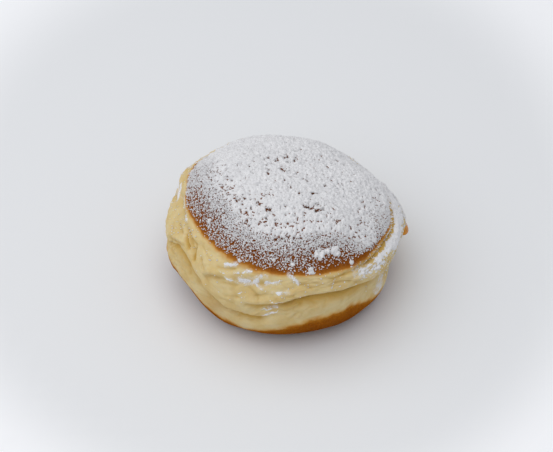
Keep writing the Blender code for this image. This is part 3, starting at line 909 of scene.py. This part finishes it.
# Height of the top crust's lower edge round the bun
TOP_EDGE = (
    (20, 33.9),
    (90, 34.2),
    (150, 33.8),
    (184, 34.2),
    (206, 34.6),
    (230, 34.0),
    (248, 33.6),
    (266, 33.3),
    (280, 33.4),
    (290, 33.7),
    (304, 33.3),
    (318, 33.9),
    (336, 34.2),
    (352, 33.8),
)


def edge_height(edge, azimuth):
    """The height of an edge at each azimuth, on straight lines between the rows of its table."""
    at = [row[0] for row in edge]
    return np.interp(np.degrees(azimuth), at, [row[1] for row in edge], period=360.0)


def crust_edge_way(azimuth):
    """Where along the outline the top crust begins."""
    return way_at(edge_height(TOP_EDGE, azimuth))


# %% The dough's mesh
def add_middles(points):
    """Adds the middle of the lowest and the highest row to a grid of points, as its two poles."""
    low, high = points[0].mean(0), points[-1].mean(0)
    return np.vstack([points.reshape(-1, 3), low, high])


def pole_faces(rows_count, columns):
    """The triangles that close a grid round its two poles."""
    column = np.arange(columns)
    right = (column + 1) % columns
    first = rows_count * columns
    top = (rows_count - 1) * columns
    low = np.stack([right, column, np.full(columns, first)], axis=-1)
    high = np.stack([top + column, top + right, np.full(columns, first + 1)], axis=-1)
    return np.vstack([low, high])


doughnut = add_piece(
    "dough",
    add_middles(dough_points),
    grid_faces(len(rows), AROUND, joined=True),
    pole_faces(len(rows), AROUND),
    dough,
)
top_in_mm = way_grid - crust_edge_way(azimuth_grid)
bottom_in_mm = edge_height(BOTTOM_EDGE, azimuth_grid) - dough_height


def with_poles(values):
    """Adds the two poles' numbers, those of the rows next to them."""
    return np.r_[values.ravel(), values[0].mean(), values[-1].mean()]


# %% Numbers for the finish
store(doughnut, "top_in", with_poles(top_in_mm))
store(doughnut, "bottom_in", with_poles(bottom_in_mm))
# How deep in a fold or pit each point lies, for the painted shade of the dough's finish
store(doughnut, "fold", with_poles(dough_fold))
# A tan patch on the lower roll: its azimuth and height, half-widths round and up, and strength
STAIN_AT, STAIN_HEIGHT, STAIN_SPREAD, STAIN_TALL, STAIN_SHARE = 233.0, 13.5, 7.0, 3.2, 0.45
stain_here = hill(turned_from(azimuth_grid, STAIN_AT) / math.radians(STAIN_SPREAD))
stain_here *= hill((dough_height - STAIN_HEIGHT) / STAIN_TALL)
store(doughnut, "stain", with_poles(STAIN_SHARE * stain_here))

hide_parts("doughnut")
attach(doughnut, "root")
solid_low, solid_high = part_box("doughnut")
made_low, made_high = dough_points.min((0, 1)) * MM, dough_points.max((0, 1)) * MM
print("solid box", [round(v, 4) for v in (*solid_low, *solid_high)])
print("dough box", [round(v, 4) for v in (*made_low, *made_high)])

# %% [markdown]
# ## Powdered sugar
#
# Sifted sugar falls straight down. It lies thick on what faces up, and hardly any stays on the
# steep sides. It also has gaps: the powder clots, and the brown crust shows between the clots. So
# the sugar is a thin skin of its own over the bun. A noise says where it rises above the dough
# and where it stays hidden just under it, and how much of it rises depends on how much sugar fell.

# %% How much sugar fell where
# Middle of each thin spot on the crust in mm, how much sugar is missing there, half-widths
THIN_SPOTS = (
    (-40.0, -7.0, 0.76, 12.0, 19.0),
    (-33.0, -22.0, 0.68, 12.5, 10.5),
    (-20.0, -34.0, 0.44, 14.0, 9.5),
    (-2.0, -41.5, 0.66, 20.0, 9.0),
    (23.0, -35.0, 0.78, 14.0, 8.5),
    (37.0, -14.0, 0.24, 6.0, 13.0),
    (-36.0, 16.0, 0.30, 9.0, 10.0),
)
FULL_COVER = 0.95
PIT_BARE_FROM, PIT_BARE_AT = 0.08, 0.22

# Width of the bare edge of the crust in mm, and where it is wider: azimuth, half-width, how much
BARE_EDGE = 0.8
WIDER_EDGE = (
    (272.0, 40.0, 1.3),
    (215.0, 35.0, 0.5),
    (340.0, 35.0, 0.3),
    (308.0, 13.0, 1.6),
)

# %% Flat clumps
# Flat clumps of sugar near the crust's edge: azimuth, height, radius, thickness
CLUMPS = (
    (281.2, 34.8, 1.5, 0.22),
    (287.4, 38.2, 1.9, 0.22),
    (292.5, 38.6, 1.3, 0.15),
    (297.0, 38.2, 2.0, 0.22),
    (303.5, 34.7, 0.9, 0.15),
    (272.0, 36.4, 0.8, 0.15),
    (262.0, 37.0, 0.9, 0.15),
    (244.8, 34.4, 0.6, 0.12),
    (246.2, 35.3, 0.5, 0.12),
    (247.6, 36.2, 0.5, 0.10),
    (215.0, 38.0, 0.8, 0.12),
)


def clump_patches(points, azimuth, way):
    """1 inside the clumps and 0 outside them, and how high they stand: each is a disc on the
    unrolled crust, and noises push its edge in and out."""
    patch, high = np.zeros(azimuth.shape), np.zeros(azimuth.shape)
    radius = np.interp(way, WAY, OUTLINE[:, 0])
    ragged = 0.5 * noise(points, 1.5, 72) + 0.4 * noise(points, 0.7, 73)
    for centre, height, size, thick in CLUMPS:
        across = turned_from(azimuth, centre) * radius
        here = 1.0 - smooth_step(np.hypot(across, way - way_at(height)) / size + ragged, 0.65, 0.95)
        patch, high = np.maximum(patch, here), np.maximum(high, thick * here)
    return patch, high


# %% From fallen sugar to a layer
def crust_cover(points, inside, hollow, azimuth):
    """The share of the crust that sugar covers: full cover less a bell for each thin spot, going
    to nothing over the last millimetres before the crust's edge and in the pits. inside is the
    distance to the edge."""
    share = np.full(points.shape[:-1], FULL_COVER)
    for x, y, missing, wide, deep in THIN_SPOTS:
        share -= missing * hill((points[..., 0] - x) / wide) * hill((points[..., 1] - y) / deep)
    share = np.clip(share, 0.0, 1.0) * (1.0 - smooth_step(-hollow, PIT_BARE_FROM, PIT_BARE_AT))
    bare = np.full(azimuth.shape, BARE_EDGE)
    for centre, spread, more in WIDER_EDGE:
        bare += more * hill(turned_from(azimuth, centre) / math.radians(spread))
    bare *= 1.0 + 0.35 * noise(points, 3.0, 71)
    return share * smooth_step(inside, bare * 0.4, bare * 1.5)


# How high the sum of the noises has to be lifted, in its own spread, for each share of cover
COVER_SHARES = (0.0, 0.02, 0.16, 0.5, 0.84, 0.98, 1.0)
COVER_LEVELS = (-5.0, -2.05, -1.0, 0.0, 1.0, 2.05, 3.0)


def clots(points, cover, seed, thick_from=0.45, build=0.12):
    """How thick the sugar lies, in millimetres, below zero where it stays hidden. Fine noises are
    added where there is little sugar and coarser ones where the cover is above thick_from, and the
    cover says how much of their sum is above the level of the dough. build is how fast the sugar
    gets thicker from there."""
    fine = noise(points, 0.60, seed) + 0.7 * noise(points, 0.40, seed + 1)
    coarse = noise(points, 1.15, seed + 2) + 0.75 * noise(points, 0.66, seed + 3)
    coarse += 0.45 * noise(points, 2.8, seed + 4)
    thick = smooth_step(cover, thick_from, thick_from + 0.45)
    mixed = (1.0 - thick) * fine / fine.std() + thick * coarse / coarse.std()
    amount = mixed + np.interp(cover, COVER_SHARES, COVER_LEVELS)
    return -0.12 + 0.20 * smooth_step(amount, -0.15, 0.2) + build * np.clip(amount, 0.0, 4.0)


def raised(points, thickness):
    """Moves a grid's points out along its own normals, which are the cross product of the ways to
    the neighbours in the next column and in the next row."""
    along = np.gradient(points, axis=1)
    up = np.gradient(points, axis=0)
    normal = np.cross(along, up)
    normal /= np.linalg.norm(normal, axis=-1)[..., None] + 1e-9
    return points + normal * thickness[..., None], normal


# %% Sugar finish
sugar, tree, shader, place = new_finish("powdered sugar")
powder = speckle(tree, place, 2600.0, 2.0, 0.7)
soft = speckle(tree, place, 420.0, 3.0, 0.6)
tint = blend(tree, slope(tree, soft, 0.3, 0.7), (0.72, 0.718, 0.735), (0.80, 0.798, 0.812))
# Painted shade: grey specks in the powder stand in for the shade between its grains
tint = blend(tree, slope(tree, powder, 0.43, 0.31, 0.0, 0.8), tint, (0.44, 0.40, 0.39))
tree.links.new(tint, shader.inputs["Base Color"])
shader.inputs["Roughness"].default_value = 0.85
shader.inputs["Specular IOR Level"].default_value = 0.2
bump = node(tree, "ShaderNodeBump", {"Height": powder, "Strength": 0.6, "Distance": 0.0003})
tree.links.new(bump.outputs["Normal"], shader.inputs["Normal"])

# %% [markdown]
# The crown's sugar needs cells of the same size all over, and a grid of rings would crowd them at
# the middle. So a square grid is bent into a disc: each square round the middle becomes a circle.

# %% Sugar on the crown
CELLS = 314
CROWN_LOW = 32.6
FALL_STEPS = (0.5, 0.72, 0.86, 0.95)
FALL_COVER = (0.0, 0.36, 0.80, 0.95)
CROWN_BUILD = 0.21
HIDDEN_BELOW = 0.25


def square_to_disc(count):
    """Azimuth and share of the radius for a square grid bent into a disc: the larger of the two
    coordinates is the radius, and their quotient times an eighth of a turn gives the angle."""
    line = np.linspace(-1.0, 1.0, count)
    u, v = np.meshgrid(line, line)
    wide = np.abs(u) > np.abs(v)
    radius = np.where(wide, u, v)
    safe = np.where(np.abs(radius) < 1e-9, 1.0, radius)
    angle = np.where(wide, math.pi / 4 * v / safe, math.pi / 2 - math.pi / 4 * u / safe)
    return np.where(radius < 0, angle + math.pi, angle) % (2 * math.pi), np.abs(radius)


crown_azimuth, crown_share = square_to_disc(CELLS)
crown_way = WAY[-1] - crown_share * (WAY[-1] - way_at(CROWN_LOW))
crown_points, _, crown_hollow = skin(crown_azimuth, crown_way)
crown_inside = crown_way - crust_edge_way(crown_azimuth)
crown_fall = crust_cover(crown_points, crown_inside, crown_hollow, crown_azimuth)
crown_patch, crown_clumps = clump_patches(crown_points, crown_azimuth, crown_way)
crown_cover = np.interp(crown_fall, FALL_STEPS, FALL_COVER)
_, crown_normal = raised(crown_points, np.zeros(crown_share.shape))
# Sugar also lies on the lip beyond the crust's edge, on the side of the filling hole
lip_cover = smooth_step(crown_normal[..., 2], 0.45, 0.75) * smooth_step(-crown_inside, -0.4, 0.3)
hole_side = hill(turned_from(crown_azimuth, 20.0) / math.radians(50.0))
crown_cover = np.maximum(crown_cover, 0.9 * lip_cover * hole_side)
crown_cover = np.maximum(crown_cover, 0.97 * crown_patch)
edge_hide = smooth_step(crown_share, 0.975, 0.995)
crown_thickness = clots(crown_points, crown_cover, 40, build=CROWN_BUILD) + crown_clumps
crown_thickness = crown_thickness * (1 - edge_hide) - HIDDEN_BELOW * edge_hide
crown_raised, _ = raised(crown_points, crown_thickness)
sugar_crown = add_piece(
    "sugar_on_crown", crown_raised.reshape(-1, 3), grid_faces(CELLS, CELLS, joined=False), material=sugar
)
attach(sugar_crown, "root")
print("sugar covers", round(float((crown_thickness > 0).mean()), 2), "of the crown's grid")

# %% [markdown]
# On the collar the sugar only lies on ledges, such as the lip that swells out over the filling
# hole, and in short strokes where it was rubbed along the folds. Two more sheets carry it, one for
# the front and one for the back.

# %% Sugar on the collar
# Start and end of each rubbed stroke as (azimuth, height), bow, half-width, strength
STROKES = (
    ((237, 31.6), (245, 34.0), -0.4, 0.42, 1.1),
    ((235, 30.1), (242, 29.2), 0.1, 0.30, 0.55),
    ((244.5, 29.2), (257, 31.3), -0.7, 0.68, 1.6),
    ((239, 28.9), (248, 28.9), -0.3, 0.30, 0.8),
    ((243, 30.6), (247, 31.4), 0.2, 0.38, 0.9),
    ((247, 31.6), (253, 32.6), 0.4, 0.42, 0.8),
    ((253, 31.8), (261, 32.8), -0.2, 0.40, 0.9),
    ((251.5, 29.8), (259.5, 28.2), 0.2, 0.30, 1.0),
    ((258, 30.0), (267, 31.7), 0.2, 0.50, 0.9),
    ((262, 28.2), (272, 29.6), -0.6, 0.50, 0.7),
    ((268.6, 34.2), (275.4, 30.4), 0.7, 0.50, 1.2),
    ((247, 25.2), (251, 25.6), 0.2, 0.35, 0.7),
    ((258, 20.2), (268, 21.6), 0.2, 0.40, 0.9),
    ((259, 17.4), (268, 20.8), 0.2, 0.35, 0.9),
    ((262, 24.6), (270, 25.6), 0.1, 0.32, 0.8),
    ((185, 29.3), (202, 33.1), 0.5, 0.45, 1.0),
    ((163, 30.4), (172.5, 26.2), 0.2, 0.55, 1.3),
    ((150, 25.0), (166, 26.4), 0.3, 0.60, 1.3),
    ((176, 32.6), (192, 33.4), 0.2, 0.45, 0.9),
    ((60, 30.0), (78, 31.0), 0.3, 0.6, 0.9),
    ((120, 31.2), (134, 30.4), 0.3, 0.6, 0.9),
    ((140, 29.8), (154, 31.2), -0.3, 0.5, 0.8),
)
# Bands of sugar on the lip over the filling hole, in the same form
BANDS = (
    ((304, 31.0), (326, 29.2), 0.3, 1.5, 0.75),
    ((314, 30.8), (345, 31.8), 0.2, 1.6, 1.0),
    ((328, 31.2), (372, 31.1), 0.3, 2.7, 1.45),
    ((356, 31.0), (410, 30.8), 0.3, 2.8, 1.45),
)
# Thin smears that only make the dough paler, in the same form
WASHES = (
    ((332, 20.6), (322, 11.6), 0.4, 2.8, 1.3),
    ((312, 27.6), (332, 20.0), 0.6, 1.8, 0.8),
    ((330, 25.0), (350, 24.0), 0.4, 2.6, 0.7),
    ((300, 31.6), (322, 29.0), 0.3, 2.4, 0.9),
    ((150, 27.0), (176, 29.0), 0.4, 2.2, 0.5),
    ((178, 31.0), (196, 33.0), 0.4, 1.6, 0.45),
    ((40, 30.0), (100, 31.0), 0.4, 2.4, 0.45),
)


# %% How the strokes lie
def stroke_cover(strokes, azimuth, height, wider=1.0):
    """How much sugar the strokes leave: across an arc it is a bell, and it fades at both ends."""
    cover = np.zeros(azimuth.shape)
    for start, end, bow, wide, strength in strokes:
        signed, share = from_arc(fold_line(start, end, bow), azimuth, height)
        ends = smooth_step(share, 0.0, 0.15) * smooth_step(1.0 - share, 0.0, 0.15)
        cover = np.maximum(cover, strength * ends * hill(signed / (wide * wider)))
    return cover


def streaks(points, azimuth, height):
    """How thick the rubbed strokes lie. Each is a bell across its arc and tapers like a sine along
    it. Noises push it aside and thin it, and one that is long along the arc and short across it
    splits it into fine lines."""
    total = 0.12 * noise(points, 0.45, 64)
    aside = 0.55 * noise(points, 2.4, 67) + 0.30 * noise(points, 0.9, 68)
    thinned = 0.7 * noise(points, 1.5, 69) + 0.35 * noise(points, 0.6, 70)
    for number_of, (start, end, bow, wide, strength) in enumerate(STROKES):
        line = fold_line(start, end, bow)
        signed, share = from_arc(line, azimuth, height)
        signed = signed + aside
        along = share * np.hypot(*(line[-1] - line[0]))
        own_place = np.full(share.shape, 7.3 * number_of)
        lines = noise(np.stack([along / 2.0, signed / 0.28, own_place], axis=-1), 1.0, 65)
        taper = np.sin(math.pi * np.clip(share, 0.0, 1.0)) ** 0.6
        total = np.maximum(total, strength * taper * hill(signed / wide) * (0.85 + 0.5 * lines + thinned))
    return -0.12 + 0.17 * smooth_step(total, 0.30, 0.50) + 0.10 * np.clip(total - 0.5, 0.0, 1.0)


# %% Make the two sheets
SHEET_LOW, SHEET_HIGH = 12.0, 34.6
SHEET_HIDES_FROM, SHEET_HIDDEN_AT = 33.6, 34.4


def sugar_on_side(name, start, end, columns, rows_count):
    """A sheet of sugar over one part of the side, from one azimuth in degrees to another. It is
    thick on ledges, which face up, on the side of the filling hole and behind, and in the bands
    and strokes. It goes under the dough in the folds and below the crown's own sheet."""
    rows = np.linspace(way_at(SHEET_LOW), way_at(SHEET_HIGH), rows_count)
    azimuth, way = np.meshgrid(np.radians(np.linspace(start, end, columns)), rows)
    points, height, hollow = skin(azimuth, way)
    _, normal = raised(points, np.zeros(azimuth.shape))
    lip_side = hill(turned_from(azimuth, 18.0) / math.radians(44.0))
    back_side = 0.55 * hill(turned_from(azimuth, 105.0) / math.radians(38.0))
    ledges = smooth_step(normal[..., 2], 0.30, 0.62) * np.maximum(lip_side, back_side)
    cover = np.maximum(0.9 * ledges, stroke_cover(BANDS, azimuth, height))
    cover = np.clip(cover, 0.0, 0.97) * (1.0 - 0.9 * smooth_step(hollow, 0.35, 0.8))
    along_folds = points * np.array((0.5, 0.5, 1.15))
    thickness = clots(along_folds, cover, 60, thick_from=0.75, build=0.05)
    thickness = np.maximum(thickness, streaks(points, azimuth, height))
    hide = smooth_step(way, way_at(SHEET_HIDES_FROM), way_at(SHEET_HIDDEN_AT))
    thickness = thickness * (1 - hide) - 0.2 * hide
    lifted = points + normal * thickness[..., None]
    piece = add_piece(
        name, lifted.reshape(-1, 3), grid_faces(rows_count, columns, joined=False), material=sugar
    )
    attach(piece, "root")
    return piece


sugar_on_side("sugar_on_front", 214.0, 420.0, 840, 112)
sugar_on_side("sugar_on_back", 60.0, 214.0, 380, 84)

# %% [markdown]
# The dough under the sugar is dusted too: a veil too thin to be a layer makes the brown lighter.
# The mesh of the dough stores how much fell on each of its points.

# %% Dust on the dough
dough_cover = crust_cover(dough_points, top_in_mm, dough_fold, azimuth_grid)
store(doughnut, "dust", with_poles(dough_cover))
wash_here = 0.85 * stroke_cover(STROKES, azimuth_grid, dough_height, wider=2.0)
wash_here = np.maximum(wash_here, stroke_cover(WASHES, azimuth_grid, dough_height))
wash_here *= 0.6 + 0.7 * noise(dough_points, 1.6, 66)
store(doughnut, "wash", with_poles(np.clip(wash_here, 0.0, 1.0)))

# %% [markdown]
# ## Loose grains
#
# Single clots of sugar lie where the layer ends. Each is a small stone with eight faces, and they
# are all in one mesh. Their places are drawn at random, and a place is kept with a chance that
# grows with the sugar, and falls again where the layer would hide the grain.

# %% Scatter loose grains
GRAIN_TRIES, MOST_GRAINS = 110000, 24500
LOWEST_GRAIN = 25.0
AZIMUTH_STEP, WAY_STEP = 0.004, 0.15
CRUST_GRAINS, EDGE_GRAINS, LIP_GRAINS, STRAY_GRAINS = 0.60, 0.012, 0.14, 0.008
SMALLEST_GRAIN, GRAIN_SPREAD = 0.185, 0.20
LARGE_GRAIN_SHARE, LARGE_GRAIN_MORE = 0.05, 0.12

draw = np.random.default_rng(77)
grain_azimuth = draw.uniform(0.0, 2 * math.pi, GRAIN_TRIES)
grain_way = WAY[-1] - np.sqrt(draw.uniform(0.0, 1.0, GRAIN_TRIES)) * (WAY[-1] - way_at(LOWEST_GRAIN))
grain_place, _, grain_hollow = skin(grain_azimuth, grain_way)
beside, _, _ = skin(grain_azimuth + AZIMUTH_STEP, grain_way)
above, _, _ = skin(grain_azimuth, grain_way + WAY_STEP)
grain_normal = np.cross(beside - grain_place, above - grain_place)
grain_normal /= np.linalg.norm(grain_normal, axis=1)[:, None]
grain_inside = grain_way - crust_edge_way(grain_azimuth)
grain_cover = crust_cover(grain_place, grain_inside, grain_hollow, grain_azimuth)
under_layer = 0.93 * smooth_step(grain_cover, 0.66, 0.90)
chance = -CRUST_GRAINS * np.log(1.0 - np.clip(grain_cover, 0.0, 0.9)) * (1.0 - under_layer)
chance += EDGE_GRAINS * smooth_step(grain_inside, -0.2, 0.5)
lip_faces_up = smooth_step(grain_normal[:, 2], 0.2, 0.6) * hill(turned_from(grain_azimuth, 18.0) / 0.75)
chance += (LIP_GRAINS * lip_faces_up + STRAY_GRAINS) * (grain_inside < 0)
kept = np.flatnonzero(draw.uniform(0.0, 1.0, GRAIN_TRIES) < chance)[:MOST_GRAINS]
centres, normals = grain_place[kept], grain_normal[kept]
count = len(centres)

# %% Make the grains
STONE = np.array([(1, 0, 0), (-1, 0, 0), (0, 1, 0), (0, -1, 0), (0, 0, 1), (0, 0, -1)], float)
STONE_FACES = np.array(
    [(0, 2, 4), (2, 1, 4), (1, 3, 4), (3, 0, 4), (2, 0, 5), (1, 2, 5), (3, 1, 5), (0, 3, 5)]
)
sizes = SMALLEST_GRAIN + GRAIN_SPREAD * draw.beta(1.6, 3.5, count)
sizes += LARGE_GRAIN_MORE * (draw.uniform(size=count) < LARGE_GRAIN_SHARE)
print(count, "of", GRAIN_TRIES, "places get a grain")
stretch = draw.uniform(0.7, 1.25, (count, 6, 1))
turns = np.linalg.qr(draw.normal(size=(count, 3, 3)))[0]
turns *= np.sign(np.linalg.det(turns))[:, None, None]
stones = np.einsum("nij,kj->nki", turns, STONE) * stretch * sizes[:, None, None]
stones += (centres + normals * (sizes * 0.55)[:, None])[:, None, :]
stone_faces = (STONE_FACES[None] + 6 * np.arange(count)[:, None, None]).reshape(-1, 3)
grains = add_piece("sugar_grains", stones.reshape(-1, 3), np.zeros((0, 4), int), stone_faces, sugar)
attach(grains, "root")

# %% [markdown]
# ## Jelly
#
# A little jelly came out where the nozzle was drawn back. It hangs under the lip as a clear amber
# bead, flatter below than above. The shape is a profile carried round the line of the nozzle: a
# plug inside the bun, a throat, and the round end, which sags.

# %% Jelly finish
jelly_finish, tree, shader, place = new_finish("jelly")
cloudy = speckle(tree, place, 500.0, 3.0)
amber = blend(tree, slope(tree, cloudy, 0.3, 0.7), (0.50, 0.175, 0.004), (0.63, 0.262, 0.007))
tree.links.new(amber, shader.inputs["Base Color"])
shader.inputs["Roughness"].default_value = 0.14
shader.inputs["IOR"].default_value = 1.40
shader.inputs["Subsurface Weight"].default_value = 0.5
shader.inputs["Subsurface Radius"].default_value = (1.0, 0.4, 0.1)
shader.inputs["Subsurface Scale"].default_value = 0.002
shader.inputs["Specular IOR Level"].default_value = 0.24
shader.inputs["Coat Weight"].default_value = 0.05

# %% Make the jelly
HOLE_AZIMUTH = 3.0
HOLE_HEIGHT = 21.1
PLUG_RADIUS = 3.2
PLUG_INNER_END = -4.0
MOUTH_AT = 41.5
BEAD_END = 47.4
BEAD_RADIUS = 4.0
BEAD_WIDER, BEAD_FLATTER_ABOVE, BEAD_FLATTER_BELOW = 0.24, 0.26, 0.42
BEAD_DROP = 2.4


def jelly_surface(round_way, along_way):
    """The jelly's skin. Its radius is a half circle at the inner end, straight along the plug,
    wider at the mouth, and a quarter of an ellipse over the bead, whose tip drops with the one and
    a half power of the distance. round_way turns round the nozzle's line, and along_way runs from
    0 at the inner end to 1 at the tip."""
    along = np.interp(along_way, (0.0, 0.12, 0.3, 0.5, 1.0), (0.0, 0.5, 1.0, 2.0, 3.0))
    inner = np.clip(along, 0.0, 1.0) * math.pi / 2
    outer = np.clip(along - 2.0, 0.0, 1.0) * math.pi / 2
    bead_start = MOUTH_AT + 1.4
    straight = np.clip(along - 1.0, 0.0, 1.0)
    radius = PLUG_RADIUS * np.sin(inner) + (BEAD_RADIUS - PLUG_RADIUS) * smooth_step(straight, 0.8, 1.0)
    radius = np.where(along > 2.0, BEAD_RADIUS * np.cos(outer), radius)
    reach = PLUG_INNER_END + PLUG_RADIUS * (1.0 - np.cos(inner))
    reach = reach + straight * (bead_start - PLUG_INNER_END - PLUG_RADIUS)
    reach = reach + (BEAD_END - bead_start) * np.sin(outer)
    bead = smooth_step(reach, MOUTH_AT - 2.0, BEAD_END - 2.0)
    across = radius * np.cos(round_way) * (1.0 + BEAD_WIDER * bead)
    up = radius * np.sin(round_way)
    beyond = np.clip((reach - MOUTH_AT) / (BEAD_END - MOUTH_AT), 0.0, 1.0)
    flatter = np.where(up > 0, BEAD_FLATTER_ABOVE, BEAD_FLATTER_BELOW)
    up = up * (1.0 - flatter * bead) - BEAD_DROP * beyond**1.5
    turn = math.radians(HOLE_AZIMUTH)
    x = reach * math.cos(turn) - across * math.sin(turn)
    y = reach * math.sin(turn) + across * math.cos(turn)
    return np.stack([x, y, up + HOLE_HEIGHT], axis=-1)


JELLY_AROUND, JELLY_ROWS = 48, 60
jelly_turns, jelly_along = np.meshgrid(
    np.arange(JELLY_AROUND) / JELLY_AROUND * 2 * math.pi, np.linspace(0.01, 0.99, JELLY_ROWS)
)
jelly_points = jelly_surface(jelly_turns, jelly_along)
jelly = add_piece(
    "jelly_bead",
    add_middles(jelly_points),
    grid_faces(JELLY_ROWS, JELLY_AROUND, joined=True),
    pole_faces(JELLY_ROWS, JELLY_AROUND),
    jelly_finish,
)
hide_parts("jelly")
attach(jelly, "root")

# %% [markdown]
# ## Table, light and camera
#
# The doughnut lies on a smooth white surface whose colour is painted paler towards its far corners, as
# painted light.
# One large soft light hangs high above it, to the left and a little in front, and pale light comes
# from all round.

# %% Table
table_finish, tree, shader, place = new_finish("white table")
# Painted light: the table's colour goes paler towards its far corners
white = blend(tree, number(tree, "far"), (0.775, 0.785, 0.805), (0.955, 0.960, 0.985))
tree.links.new(white, shader.inputs["Base Color"])
shader.inputs["Roughness"].default_value = 0.6


FIELD_MIDDLE = (-2.7, 24.5)
FIELD_HALF = (107.0, 131.0)
FIELD_WIDENS = 0.00147
FIELD_LESS_RIGHT, FIELD_TURNS_OVER = 5.0, 60.0


def painted_corner_light(x, y):
    """How much painted light the table's colour gets: 0 near the doughnut and 1 beyond the corners
    of a field that widens away from the front and is a little narrower on the right: the squares of
    the two distances, each as a share of the field's half width there, are added."""
    widening = 1.0 + FIELD_WIDENS * y
    half_across = FIELD_HALF[0] - FIELD_LESS_RIGHT * np.tanh(x / FIELD_TURNS_OVER)
    across = (x - FIELD_MIDDLE[0]) / (half_across * widening)
    along = (y - FIELD_MIDDLE[1] * widening) / (FIELD_HALF[1] * widening)
    return smooth_step(across**2 + along**2, 1.0, 1.9)


# The lines of the floor lie close together near the doughnut: their distance grows with share**1.6
FLOOR_REACH = 2500.0
FLOOR_LINES = 181
floor_share = np.linspace(-1.0, 1.0, FLOOR_LINES)
floor_line = FLOOR_REACH * np.sign(floor_share) * np.abs(floor_share) ** 2.6
floor_x, floor_y = np.meshgrid(floor_line, floor_line)
floor_points = np.stack([floor_x, floor_y, np.zeros(floor_x.shape)], axis=-1).reshape(-1, 3)
floor_faces = grid_faces(FLOOR_LINES, FLOOR_LINES, joined=False)
table = add_piece("table", floor_points, floor_faces, material=table_finish)
# How much painted light each point of the table gets
store(table, "far", painted_corner_light(floor_x, floor_y))

# %% Light
world = bpy.data.worlds.new("studio")
bpy.context.scene.world = world
world.use_nodes = True
world.node_tree.nodes["Background"].inputs["Color"].default_value = (0.95, 0.97, 1.0, 1.0)
world.node_tree.nodes["Background"].inputs["Strength"].default_value = 0.48


def soft_light(name, place, size, power, colour=(1.0, 1.0, 1.0)):
    """A square light that faces the doughnut. Place and size are metres, power is watts."""
    data = bpy.data.lights.new(name, "AREA")
    data.size = size
    data.energy = power
    data.color = colour
    lamp = bpy.data.objects.new(name, data)
    bpy.context.scene.collection.objects.link(lamp)
    lamp.location = place
    lamp.rotation_euler = (Vector((0.0, 0.0, 0.02)) - Vector(place)).to_track_quat("-Z", "Y").to_euler()
    return lamp


soft_light("window", place=(-0.42, -0.15, 1.15), size=2.3, power=16.4)

# %% Camera
ELEVATION = math.radians(42.0)
CAMERA_DISTANCE = 0.505
LENS, SENSOR = 85.0, 36.0
PICTURE = (553, 452)
ORIGIN_AT = (283.2, 269.0)


def place_camera():
    """Looks along +Y and down by the elevation. It is moved sideways and up so that the origin
    lands on its own pixel of the picture."""
    pixels = LENS / SENSOR * PICTURE[0]
    right = Vector((1.0, 0.0, 0.0))
    up = Vector((0.0, math.sin(ELEVATION), math.cos(ELEVATION)))
    ahead = Vector((0.0, math.cos(ELEVATION), -math.sin(ELEVATION)))
    aside = (ORIGIN_AT[0] - PICTURE[0] / 2) / pixels * CAMERA_DISTANCE
    above = -(ORIGIN_AT[1] - PICTURE[1] / 2) / pixels * CAMERA_DISTANCE
    data = bpy.data.cameras.new("camera")
    data.lens = LENS
    data.sensor_width = SENSOR
    data.clip_start = 0.01
    camera = bpy.data.objects.new("camera", data)
    bpy.context.scene.collection.objects.link(camera)
    spot = -ahead * CAMERA_DISTANCE - right * aside - up * above
    turn = Matrix((right, up, -ahead)).transposed().to_4x4()
    camera.matrix_world = Matrix.Translation(spot) @ turn
    return camera


bpy.context.scene.camera = place_camera()
bpy.context.scene.view_settings.view_transform = "Standard"
